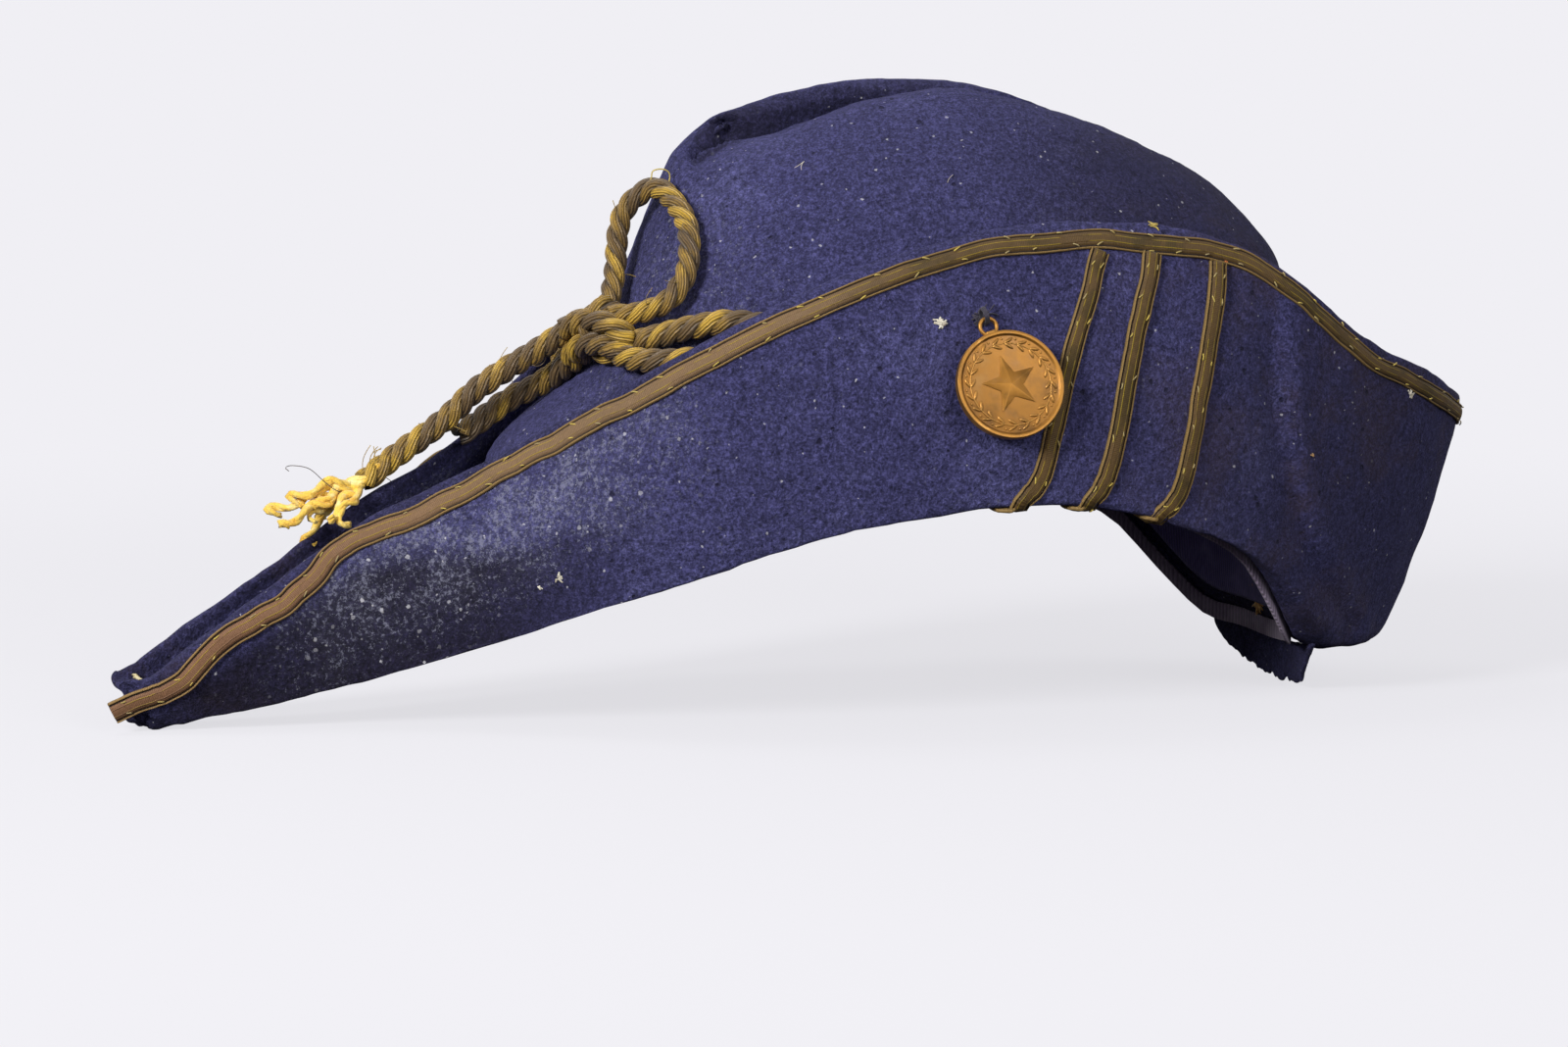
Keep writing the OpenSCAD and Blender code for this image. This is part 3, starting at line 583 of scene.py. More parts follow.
bowPiece, bowPath = ropePiece("cordBow", bowRoute, cordFinish, "cord_bow", 0.4, 0.9)
sidePiece, sidePath = ropePiece("cordSideEnd", sideRoute, cordFinish,
                                "cord_side_end", 1.2)
longPiece, longPath = ropePiece("cordLongEnd", longRoute, cordFinish, "cord_long_end")
shortPiece, shortPath = ropePiece("cordShortEnd", shortRoute, cordShade,
                                  "cord_short_end", 2.1)
longRun = (longPath[-1] - longPath[-4]).normalized()
fraySet = {"seed": 11, "ply": 0.88 * mm}
fray = frayPiece(fraySet, longPath[-1], longRun)
knotPiece([
    [(-76.5, -27.5, 103), (-79.5, -26.5, 105.5), (-83, -22.5, 107.5), (-86.5, -16, 107.5),
     (-90, -9.5, 104.5)],
    [(-76, -29, 98.5), (-79.5, -25.5, 100.5), (-83.5, -20.5, 101.5), (-86.5, -13.5, 100.5),
     (-87.5, -5, 97)],
    [(-78, -14, 108), (-80.5, -19, 111), (-84, -18, 109), (-85, -16, 104), (-82, -16.5, 99.5),
     (-78, -19, 98)],
])

fibreFinish, fibreTree, fibreShader = startMaterial("looseFibre", 0.7)
fibreTone = ramp(fibreTree, noiseOut(fibreTree, objectVector(fibreTree), 60.0),
                 [(0.4, tone(176, 146, 70)), (0.6, tone(120, 104, 84))])
fibreTree.links.new(fibreTone, fibreShader.inputs["Base Color"])
fibreSet = {"seed": 5, "count": 1, "out": 2.6 * mm, "length": (3 * mm, 8 * mm), "radius": 0.11 * mm}
strayFibres("cordFibres", longPath[::9] + bowPath[::16] + longPath[-8:], fibreSet, fibreFinish)
print("cords made")


# felt

feltSet = {
    "navy": tone(60, 59, 99),
    "worn": tone(84, 84, 128),
    "deep": tone(22, 20, 40),
    # painted shade colour, multiplied into the felt where the marks ask for it
    "paintedShade": (0.19, 0.155, 0.15, 1.0),
    "dust": tone(146, 147, 168),
    "soil": tone(84, 66, 62),
    "lint": tone(232, 230, 236),
}


def feltMaterial(name, setup, paintedShadeAmount=0.0, dusty=1.0):
    material, tree, shader = startMaterial(name, 0.92, Sheen_Weight=0.12, Sheen_Roughness=0.5,
                                           Specular_IOR_Level=0.18)
    shader.inputs["Sheen Tint"].default_value = tone(140, 140, 196)
    vector = objectVector(tree)
    grain = useGroup(tree, feltGrainGroup, vector)
    blotch = noiseOut(tree, vector, 20.0, 6.0, 0.6)
    mottle = noiseOut(tree, vector, 300.0, 5.0, 0.75)
    level = calc(tree, "ADD", calc(tree, "MULTIPLY", blotch, 0.6), calc(tree, "MULTIPLY", mottle, 0.4))
    base = ramp(tree, level, [(0.36, blendTone(setup["navy"], setup["deep"], 0.22)), (0.5, setup["navy"]),
                              (0.64, blendTone(setup["navy"], setup["worn"], 0.5))])
    fibre = ramp(tree, grain.outputs["Tone"], [(0.34, 0.2), (0.5, 0.9), (0.66, 2.3)], "LINEAR")
    base = blendColor(tree, 1.0, base, fibre, "MULTIPLY")
    # soiling on the rear of the crown and at the beak's end
    rear = axisFade(tree, vector, "X", 0.02, 0.1)
    tip = axisFade(tree, vector, "X", -0.13, -0.18)
    patches = ramp(tree, noiseOut(tree, vector, 26.0, 8.0, 0.72), [(0.45, 0.0), (0.62, 1.0)])
    soilShare = calc(tree, "MULTIPLY", calc(tree, "MULTIPLY", calc(tree, "ADD", rear, tip), 0.42 * dusty),
                     patches, clamp=True)
    base = blendColor(tree, soilShare, base, blendTone(setup["soil"], setup["deep"], 0.35))
    # painted shade where the marks put it, a little uneven
    paintedShadeMark = addNode(tree, "ShaderNodeAttribute", attribute_name="paintedShade")
    paintedShadeShare = calc(tree, "MULTIPLY", paintedShadeMark.outputs["Fac"], ramp(tree, blotch, [(0.35, 0.75), (0.6, 1.0)]))
    base = blendColor(tree, paintedShadeShare, base, setup["paintedShade"], "MULTIPLY")
    # pale dust in grains, thick where the piece is marked and thin all over
    marked = addNode(tree, "ShaderNodeAttribute", attribute_name="dust")
    amount = calc(tree, "ADD", calc(tree, "MULTIPLY", marked.outputs["Fac"], dusty),
                  calc(tree, "MULTIPLY", patches, 0.1 * dusty))
    spread = calc(tree, "MULTIPLY", amount, ramp(tree, noiseOut(tree, vector, 75.0, 6.0, 0.7),
                                                 [(0.36, 0.3), (0.58, 1.0)]))
    grains = calc(tree, "ADD", noiseOut(tree, vector, 760.0, 5.0, 0.85), calc(tree, "MULTIPLY", spread, 0.1))
    crumbs = calc(tree, "MULTIPLY", ramp(tree, grains, [(0.57, 0.0), (0.67, 1.0)]), 0.52)
    dustShare = calc(tree, "ADD", crumbs, calc(tree, "MULTIPLY", spread, 0.06), clamp=True)
    dustReach = calc(tree, "MULTIPLY", amount, 3.0, clamp=True)
    base = blendColor(tree, calc(tree, "MULTIPLY", dustShare, dustReach), base, setup["dust"])
    lint = useGroup(tree, speckGroup, vector, Density=150.0, Size=0.1, Share=0.16)
    lintFine = useGroup(tree, speckGroup, vector, Density=560.0, Size=0.26, Share=0.14)
    lintMany = useGroup(tree, speckGroup, vector, Density=420.0, Size=0.3, Share=0.3)
    flecks = calc(tree, "ADD", calc(tree, "MULTIPLY", lint.outputs[0], 0.8),
                  calc(tree, "MULTIPLY", lintFine.outputs[0], 0.45), clamp=True)
    flecks = calc(tree, "ADD", flecks, calc(tree, "MULTIPLY", lintMany.outputs[0],
                                            calc(tree, "MULTIPLY", spread, 0.7)), clamp=True)
    base = blendColor(tree, flecks, base, setup["lint"])
    # painted shade in small dents, which the bump also sinks
    pitShade = useGroup(tree, speckGroup, vector, Density=240.0, Size=0.22, Share=0.3)
    base = blendColor(tree, calc(tree, "MULTIPLY", pitShade.outputs[0], 0.75), base, setup["deep"])
    # painted shade: the whole copy darkened towards deep navy
    if paintedShadeAmount:
        base = blendColor(tree, paintedShadeAmount, base, setup["deep"])
    tree.links.new(base, shader.inputs["Base Color"])
    height = calc(tree, "SUBTRACT", grain.outputs["Height"], calc(tree, "MULTIPLY", pitShade.outputs[0], 0.9))
    addBump(tree, shader, height, 1.0, 0.0016)
    return material


feltFinish = feltMaterial("navyFelt", feltSet)
# darker copy of the felt as painted shade, with less dust, for the nape strip
feltShadedCopy = feltMaterial("navyFeltPaintedShade", feltSet, 0.45, 0.3)


def cadCopy(nodeName, dist=0.00002):
    # merged copy of a CAD node, with its cut cells whole again
    source = frame["nodes"][nodeName]
    bm = bmesh.new()
    bm.from_mesh(source.data)
    bm.transform(source.matrix_world)
    bmesh.ops.remove_doubles(bm, verts=bm.verts, dist=dist)
    bmesh.ops.join_triangles(bm, faces=bm.faces, angle_face_threshold=1.2, angle_shape_threshold=2.2)
    return bm


def smoothed(bm, levels):
    # subdivision surface applied to a loose mesh
    mesh = bpy.data.meshes.new("cage")
    bm.to_mesh(mesh)
    bm.free()
    cage = bpy.data.objects.new("cage", mesh)
    scene.collection.objects.link(cage)
    modifier = cage.modifiers.new("smooth", "SUBSURF")
    modifier.levels = levels
    modifier.render_levels = levels
    graph = bpy.context.evaluated_depsgraph_get()
    result = bpy.data.meshes.new_from_object(cage.evaluated_get(graph))
    out = bmesh.new()
    out.from_mesh(result)
    bpy.data.objects.remove(cage)
    bpy.data.meshes.remove(mesh)
    bpy.data.meshes.remove(result)
    return out


def roughen(bm, layers):
    # pushes the surface in and out with noise: (size in metres, depth)
    bm.normal_update()
    moves = []
    for corner in bm.verts:
        push = sum(depth * noise.noise(corner.co / size) for size, depth in layers)
        moves.append(corner.normal * push)
    for corner, move in zip(bm.verts, moves):
        corner.co += move


def bell(value, middle, width):
    return math.exp(-((value - middle) / width) ** 2)


def fade(value, start, end):
    t = min(max((value - start) / (end - start), 0), 1)
    return t * t * (3 - 2 * t)


def crownRidge():
    # the highest points of the CAD crown along its length, in millimetres
    bm = cadCopy("crown")
    tree = BVHTree.FromBMesh(bm)
    bm.free()
    table = []
    for x in [*range(-60, -20, 8), *range(-20, 61, 10)]:
        drops = [tree.ray_cast(Vector((x, y, 300)) * mm, Vector((0, 0, -1)))[0] for y in range(-32, 33, 4)]
        table.append((x, round(max(spot.z for spot in drops if spot) / mm, 1)))
    return table


ridgeHeights = crownRidge()


def readTable(table, value):
    if value <= table[0][0]:
        return table[0][1]
    for (a, first), (b, second) in zip(table, table[1:]):
        if value <= b:
            return first + (second - first) * (value - a) / (b - a)
    return table[-1][1]


def shapeCrown(bm):
    # the pinch is a deep slot: its left lip leans over it and its right side rolls over it
    for corner in bm.verts:
        x, y, z = corner.co / mm
        # the foot in front comes down onto the brim
        foot = fade(x, -84, -96) * fade(z, 57, 50)
        corner.co += Vector((-2.0, -1.2 * fade(y, 2, -6), -5.0)) * foot * mm
        below = z - readTable(ridgeHeights, x)
        along = fade(x, -57, -51) * fade(x, 62, 34)
        if below < -26 or along == 0 or y < -20 or y > 28:
            continue
        width = 2.0 + 4.4 * fade(x, -52, -34)
        slot = max(1 - ((y + 4.6 - 2.4 * fade(x, -52, -34)) / width) ** 2, 0) ** 0.6
        front = bell(x, -50, 8)
        lip = bell(y, -9, 4.5) * fade(below, -13, -6)
        roll = fade(y, 25, 10) * fade(y, 0, 3.5) * fade(below, -10, -3) * fade(x, -56, -42)
        sink = fade(x, -55, -50) * 14
        corner.co.z += (-sink * slot + 1.0 * roll - (1.2 + 1.4 * front) * lip) * along * mm
        corner.co.y += (3.8 * lip - 5.8 * roll) * along * mm


def nodeRings(nodeName, corners, toward):
    # a swept CAD node's sections in order, from its end that lies farthest that way, in millimetres
    bm = cadCopy(nodeName)
    bmesh.ops.dissolve_limit(bm, angle_limit=cadLineSet["flat"], verts=[], edges=bm.edges)
    caps = [face for face in bm.faces if len(face.verts) == corners]
    ring = list(max(caps, key=lambda face: face.calc_center_median().dot(toward)).verts)
    seen = set(ring)
    rings = []
    while ring:
        rings.append([corner.co / mm for corner in ring])
        beside = [edge.other_vert(corner) for corner in ring for edge in corner.link_edges]
        ring = [corner for corner in dict.fromkeys(beside) if corner not in seen]
        seen.update(ring)
    bm.free()
    return rings


def middleOf(places):
    return sum(places, Vector((0, 0, 0))) / len(places)


def tenths(place):
    return tuple(round(value, 1) for value in place)


def cordLine(nodeName, toward):
    # middle line of a round CAD cord
    return [tenths(middleOf(ring)) for ring in nodeRings(nodeName, cadLineSet["cordCorners"], toward)]


def sewnLine(nodeName, toward):
    # the line on the felt under a CAD braid: its foot is the two corners farthest from the middle
    line = []
    for ring in nodeRings(nodeName, cadLineSet["braidCorners"], toward):
        middle = middleOf(ring)
        foot = middleOf(sorted(ring, key=lambda corner: (corner - middle).length)[-2:])
        line.append(tenths(foot - (middle - foot).normalized() * cadLineSet["braidClear"]))
    return line


def stripeLine(nodeName):
    # every section down the wall, and fewer where it goes under the fold
    line = sewnLine(nodeName, cadLineSet["stripeStart"])
    return line[:10] + line[11:17:2] + line[-1:]


cadLineSet = {
    "braidCorners": 6,
    "cordCorners": 8,
    "flat": math.radians(0.5),               # an end face is flat to this angle
    "braidClear": 0.45,                      # millimetres between the felt and a braid's foot
    "edgeEnds": (4, -3),                     # sections left out at the beak
    "edgeStart": Vector((-1, -0.1, -1)),     # which way each line's first end lies
    "stripeStart": Vector((0, 0, 1)),
    "bandStart": Vector((-1, -0.5, 1)),
}
edgeLine = sewnLine("edge_braid", cadLineSet["edgeStart"])[slice(*cadLineSet["edgeEnds"])]
stripeNodes = ("stripe_braid_front", "stripe_braid_middle", "stripe_braid_rear")
stripeLines = {node: stripeLine(node) for node in stripeNodes}
leftEdge = sorted((x, z) for x, y, z in edgeLine if y < 0)

foldSet = {
    "top": 101,      # where it runs out above, and how far it goes down
    "height": 81,
    "place": 94.5,   # x at the top
    "reach": 34,     # how far it bends to the rear on its way down
    "bend": 2.65,
}


def foldAt(z):
    # x of the soft fold in the rear of the left wall
    down = min(max((foldSet["top"] - z) / foldSet["height"], 0), 1)
    return foldSet["place"] + foldSet["reach"] * down ** foldSet["bend"]


def shapeBrim(bm):
    # the left wall has a soft fold line and ends just above its braid, the right wall rises beside
    # the knot, the tip is torn
    for corner in bm.verts:
        x, y, z = corner.co / mm
        over = z - readTable(leftEdge, x) - 2
        if over > 0 and y < (-1 if x < -60 else -15):
            corner.co.z -= over * (0.36 * fade(x, 130, 90) + 0.34 * fade(x, -110, -190)) * mm
        if y < -20 and x > 70:
            line = foldAt(z)
            depth = (1.6 * bell(x, line - 1, 4) - 1.2 * bell(x, line + 5, 3.6)) * fade(z, 116, 96)
            corner.co += Vector((-0.295, 0.955, 0)) * depth * mm
        elif y > 15:
            corner.co.z += 4.0 * mm * bell(x, -62, 22) * fade(z, 60, 100)
        if x < -190:
            torn = noise.noise(corner.co * 170) + 0.6 * noise.noise(corner.co * 420)
            corner.co += Vector((0.9, 0.2, 0.7)) * torn * 1.9 * mm * fade(x, -190, -206)
            corner.co.x += 3.4 * mm * bell(z, 8.5, 3.4) * fade(x, -204, -210)


def wallMarks(place, normal):
    # pale dust caught on the left of the beak below the braid; painted shade low on the beak, at the nape (a
    # lighter painted band left along the fold) and above the braid in front
    x, y, z = place / mm
    drop = readTable(leftEdge, x) - z
    dust = fade(x, -56, -96) * fade(x, -184, -140) * fade(drop, -2, 3) * fade(drop, 44, 10)
    # painted shade: low on the beak, at the rear of the wall and above the braid in front; the fold keeps a
    # lighter painted band
    start = 2 + 18 * fade(x, -150, -95)
    low = fade(drop, start, start + 9) * fade(x, -70, -120)
    fold = foldAt(z)
    rear = fade(x, 66, 80) * (1 - 0.7 * bell(x, fold + 3, 3.5)) + 0.25 * fade(x, fold + 6, fold + 12)
    upper = fade(drop, 0, -2) * fade(x, -50, -80)
    return dust * fade(-normal.y, 0.2, 0.6), min(low + 0.31 * rear + 0.5 * upper, 1)


def crownMarks(place, normal):
    # pale dust on the front of the crown; painted shade on its rear and on the far wall of the crease
    x, y, z = place / mm
    dust = 0.34 * fade(x, -30, -62) * fade(-normal.y, 0.0, 0.5) * fade(z, 150, 120)
    rear = fade(x, 5, 65) * fade(z, 168, 150)
    crease = (fade(x, -56, -50) * fade(x, 42, 10) * fade(y, -8, -6) * fade(y, 9, -3)
              * fade(-normal.y, 0.1, 0.5) * fade(z, 140, 145))
    return dust, min(0.75 * rear + 0.8 * crease, 1)


def markDustAndShade(bm, marks):
    # pale dust and painted shade for every vertex
    dust = bm.verts.layers.float.new("dust")
    paintedShade = bm.verts.layers.float.new("paintedShade")
    bm.normal_update()
    for corner in bm.verts:
        corner[dust], corner[paintedShade] = marks(corner.co, corner.normal)


def feltPiece(node, name, levels, layers, material, shape, marks):
    bm = smoothed(cadCopy(node), levels)
    shape(bm)
    roughen(bm, layers)
    for corner in bm.verts:
        corner.co.z = max(corner.co.z, 0.1 * mm)
    markDustAndShade(bm, marks)
    return finishPiece(name, bm, "hat", material, (node,))


feltShape = {
    "crown": [(0.06, 1.3 * mm), (0.022, 0.7 * mm), (0.007, 0.34 * mm), (0.003, 0.16 * mm)],
    "brim": [(0.05, 1.0 * mm), (0.018, 0.6 * mm), (0.0065, 0.36 * mm), (0.003, 0.16 * mm)],
    "levels": 2,
}
crownPiece = feltPiece("crown", "crownFelt", feltShape["levels"], feltShape["crown"], feltFinish,
                       shapeCrown, crownMarks)
brimPiece = feltPiece("brim", "brimFelt", feltShape["levels"], feltShape["brim"], feltFinish,
                      shapeBrim, wallMarks)


def surfaceOf(piece):
    bm = bmesh.new()
    bm.from_mesh(piece.data)
    tree = BVHTree.FromBMesh(bm)
    bm.free()
    return tree


brimSurface = surfaceOf(brimPiece)
crownSurface = surfaceOf(crownPiece)
print("felt made")

bandSet = {"clear": 3.0 * mm, "thin": 0.9}   # clear of the felt beside the knot


def bandPiece(name, places, node, setup):
    # the turn round the crown follows the CAD band, and stands clear of the felt beside the knot
    route = []
    for x, y, z in places:
        point = Vector((x, y, z)) * mm
        if x < -35 and y < 0:
            spot, up, index, far = crownSurface.find_nearest(point)
            point += up * max(setup["clear"] - (point - spot).dot(up), 0)
        if y < 0:
            # on the left it rises by the knot and then sinks behind the brim's wall
            rise = 2.0 * bell(x, -60, 12)
            sink = 5.5 * fade(x, -50, -36) * fade(x, 60, 0)
            point.z += (rise - sink) * mm
        route.append(tuple(point / mm))
    return ropePiece(name, route, cordFinish, node, setup["thin"])


bandPiece("cordBand", cordLine("cord_band", cadLineSet["bandStart"]), "cord_band", bandSet)


# braid

braidSet = {
    "width": 6.2 * mm,
    "stripeWidth": 5.3 * mm,
    "gap": 1.0 * mm,
    "lift": 0.12 * mm,
    "wave": 0.8 * mm,        # how far the braid wanders sideways
    "warp": 0.00062,         # half the distance between yellow warps
    "rib": 0.00024,          # half the width of a rib of the weave
    "silk": tone(98, 74, 38),
    "olive": tone(72, 56, 18),
    "worn": tone(146, 116, 84),
    "rust": tone(138, 98, 70),
    "yellow": tone(184, 156, 40),
    "edge": tone(156, 126, 72),
    "groove": tone(26, 14, 12),
}

# half of the section across a braid, as shares of half its width and heights in millimetres
braidSection = [(1.0, 0.0), (1.0, 0.62), (0.95, 0.98), (0.86, 0.98), (0.8, 0.4), (0.71, 0.35), (0.65, 0.95),
                (0.5, 1.25), (0.25, 1.4), (0.0, 1.44)]


def braidProfile(width):
    half = [(share * width / 2, height * mm) for share, height in braidSection]
    return half + [(-x, y) for x, y in reversed(half[:-1])]


def settleOn(surface, route, window=3):
    # lays the route on a surface and reads the outward direction along it
    spots = []
    ups = []
    for point in route:
        place, up, index, far = surface.find_nearest(point)
        spots.append(place)
        ups.append(up)
    even = []
    for k in range(len(ups)):
        part = ups[max(k - window, 0):k + window + 1]
        total = Vector((0, 0, 0))
        for up in part:
            total += up
        even.append(total.normalized())
    return spots, even


def eased(route, reach, rounds):
    # rounds off kinks without moving the ends
    for turn in range(rounds):
        route = [route[k] if k < reach or k >= len(route) - reach
                 else (route[k - reach] + route[k] * 2 + route[k + reach]) / 4 for k in range(len(route))]
    return route


def braidPiece(name, places, width, node, material, setup, seed, waveFront=0.0, easing=0, beyond=0):
    route = smoothRoute(places, setup["gap"])
    if easing:
        route = eased(route, easing, 3)
    spots, ups = settleOn(brimSurface, route)
    if beyond:
        # the cut end runs straight on past the felt
        step = (spots[0] - spots[3]).normalized() * setup["gap"]
        spots = [spots[0] + step * k for k in range(beyond, 0, -1)] + spots
        ups = [ups[0]] * beyond + ups
        route = spots
    moved = []
    sizes = []
    for k, point in enumerate(spots):
        run = runAt(spots, k)
        across = ups[k].cross(run).normalized()
        spot = route[k]
        sway = (noise.noise(spot * 55 + Vector((seed, 0, 0)))
                + 0.35 * noise.noise(spot * 120 + Vector((0, seed, 0))))
        amount = setup["wave"] * (1 + waveFront * min(max((-0.06 - spot.x) / 0.1, 0), 1))
        moved.append(point + across * sway * amount + ups[k] * setup["lift"])
        narrow = 1 - (0.1 * fade(spot.x / mm, -70, -30) + 0.13 * fade(spot.x / mm, 70, 110)) * (seed < 10)
        sizes.append(narrow + 0.07 * noise.noise(spot * 90 + Vector((0, 0, seed))))
    bm = bmesh.new()
    gap = routeLength(moved) / (len(moved) - 1)
    sweep(bm, braidProfile(width), rollingFrames(moved, ups), gap, sizes, flat=True)
    finishPiece(name, bm, "hat", material, (node,))
    return moved, ups


def braidMaterial(name, setup, width):
    material, tree, shader = startMaterial(name, 0.6, Sheen_Weight=0.04, Specular_IOR_Level=0.3)
    vector = objectVector(tree)
    uvNode = addNode(tree, "ShaderNodeUVMap", uv_map="strip")
    parts = addNode(tree, "ShaderNodeSeparateXYZ")
    tree.links.new(uvNode.outputs[0], parts.inputs[0])
    across, along = parts.outputs[0], parts.outputs[1]
    # distance from the braid's middle as a share of its width
    middle = calc(tree, "ABSOLUTE", across)
    share = calc(tree, "DIVIDE", middle, width / 2)
    blotch = noiseOut(tree, vector, 48.0, 5.0, 0.65)
    base = ramp(tree, blotch, [(0.38, setup["olive"]), (0.56, setup["silk"])])
    bright = axisFade(tree, vector, "X", 0.0, -0.05)
    base = blendColor(tree, calc(tree, "MULTIPLY", bright, 0.75), base, setup["worn"])
    rusty = axisFade(tree, vector, "X", -0.1, -0.19)
    base = blendColor(tree, calc(tree, "MULTIPLY", rusty, 0.85), base, setup["rust"])
    # thin yellow warps that come and go
    warp = calc(tree, "PINGPONG", calc(tree, "ADD", middle, 0.00025), setup["warp"])
    warpLine = ramp(tree, calc(tree, "MULTIPLY", warp, 1 / setup["warp"]), [(0.0, 1.0), (0.34, 0.0)])
    gaps = ramp(tree, noiseOut(tree, vector, 130.0, 4.0), [(0.4, 0.0), (0.52, 1.0)])
    inner = calc(tree, "LESS_THAN", share, 0.66)
    warpShare = calc(tree, "MULTIPLY", calc(tree, "MULTIPLY", warpLine, gaps),
                     calc(tree, "MULTIPLY", inner, 0.8))
    base = blendColor(tree, warpShare, base, setup["yellow"])
    # transverse ribs of the weave
    rib = calc(tree, "PINGPONG", along, setup["rib"])
    ribbed = calc(tree, "MULTIPLY", rib, 1 / setup["rib"])
    ribTone = ramp(tree, ribbed, [(0.0, 0.62), (0.8, 1.12)], "LINEAR")
    base = blendColor(tree, 0.6, base, blendColor(tree, 1.0, base, ribTone, "MULTIPLY"))
    edgeShare = ramp(tree, share, [(0.78, 0.0), (0.83, 1.0)])
    base = blendColor(tree, calc(tree, "MULTIPLY", edgeShare, 0.8), base, setup["edge"])
    # painted shade in the sunken line inside each edge
    groove = ramp(tree, calc(tree, "ABSOLUTE", calc(tree, "SUBTRACT", share, 0.75)),
                  [(0.06, 1.0), (0.11, 0.0)])
    base = blendColor(tree, calc(tree, "MULTIPLY", groove, 0.9), base, setup["groove"])
    fine = noiseOut(tree, vector, 1300.0, 3.0)
    base = blendColor(tree, calc(tree, "MULTIPLY", fine, 0.35), base, setup["groove"])
    tree.links.new(base, shader.inputs["Base Color"])
    height = calc(tree, "ADD", calc(tree, "MULTIPLY", ribbed, 0.6), calc(tree, "ADD", fine, warpLine))
    addBump(tree, shader, height, 0.6, 0.0003)
    return material


edgeFinish = braidMaterial("goldEdgeBraid", braidSet, braidSet["width"])
stripeFinish = braidMaterial("goldStripeBraid", braidSet, braidSet["stripeWidth"])
edgePath, edgeUps = braidPiece("edgeBraid", edgeLine, braidSet["width"], "edge_braid", edgeFinish,
                               braidSet, 3.0, 3.0, beyond=11)
stripePaths = []
for number, (node, line) in enumerate(stripeLines.items()):
    start = Vector(line[0]) - (Vector(line[1]) - Vector(line[0])).normalized() * 2.2
    stripePaths.append(braidPiece(node.replace("stripe_braid_", "stripeBraid_"), [tuple(start)] + line,
                                  braidSet["stripeWidth"], node, stripeFinish, braidSet, 20.0 + number,
                                  easing=5))
print("braid made")

stitchSet = {"seed": 17, "radius": 0.19 * mm, "length": (1.1 * mm, 2.1 * mm), "rise": 0.25 * mm}


def stitchPiece(name, lines, setup, material, node):
    # short yellow stitches just inside both edges of the braid, none quite like the next
    dice = random.Random(setup["seed"])
    bm = bmesh.new()
    for path, ups, width, pitch in lines:
        for side in (-1, 1):
            k = 4.0
            while k < len(path) - 4:
                index = int(k)
                run = runAt(path, index)
                up = ups[index]
                across = up.cross(run).normalized() * side
                length = dice.uniform(*setup["length"])
                lean = (across * dice.uniform(-0.7, 0.7) + run).normalized()
                middle = path[index] + across * (width / 2 - dice.uniform(0.8, 1.6) * mm) + up * 1.1 * mm
                arc = [middle + lean * length * (t - 0.5) + up * setup["rise"] * math.sin(math.pi * t)
                       for t in (0, 0.25, 0.5, 0.75, 1)]
                sweep(bm, circleProfile(setup["radius"], 5), rollingFrames(arc), length / 4)
                k += pitch * dice.uniform(0.6, 1.5) / braidSet["gap"]
    return finishPiece(name, bm, "hat", material, (node,))


threadFinish, threadTree, threadShader = startMaterial("yellowThread", 0.6, Sheen_Weight=0.1)
threadTone = ramp(threadTree, noiseOut(threadTree, objectVector(threadTree), 90.0),
                  [(0.4, tone(196, 172, 74)), (0.62, tone(160, 142, 96))])
threadTree.links.new(threadTone, threadShader.inputs["Base Color"])
addBump(threadTree, threadShader, noiseOut(threadTree, objectVector(threadTree), 1800.0), 0.4, 0.0003)
stitchPiece("edgeStitches", [(edgePath, edgeUps, braidSet["width"], 11 * mm)], stitchSet, threadFinish,
            "edge_stitches")
stitchPiece("stripeStitches", [(path, ups, braidSet["stripeWidth"], 12 * mm) for path, ups in stripePaths],
            stitchSet, threadFinish, "stripe_stitches")
print("stitches made")


# tip tack, nape strip and bands

tackFinish, tackTree, tackShader = startMaterial("paleThread", 0.6)
tackTone = ramp(tackTree, noiseOut(tackTree, objectVector(tackTree), 300.0),
                [(0.35, tone(226, 216, 178)), (0.65, tone(190, 172, 120))])
tackTree.links.new(tackTone, tackShader.inputs["Base Color"])


def tipTack(setup):
    # a bar of doubled thread between the two walls
    low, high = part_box("tip_tack")
    low, high = Vector(low), Vector(high)
    middle = (low + high) / 2
    bm = bmesh.new()
    for turn in range(setup["turns"]):
        path = []
        for k in range(17):
            t = k / 16
            y = low.y + (high.y - low.y) * t
            angle = turn * 2.1 + t * 9
            sag = setup["sag"] * math.sin(math.pi * t)
            path.append(Vector((middle.x + setup["wind"] * math.cos(angle), y,
                                middle.z + setup["wind"] * math.sin(angle) - sag)))
        sweep(bm, circleProfile(setup["radius"], 6), rollingFrames(path), (path[1] - path[0]).length)
    return finishPiece("tipTack", bm, "hat", tackFinish, ("tip_tack",))


tipTack({"turns": 3, "wind": 0.42 * mm, "sag": 0.4 * mm, "radius": 0.36 * mm})


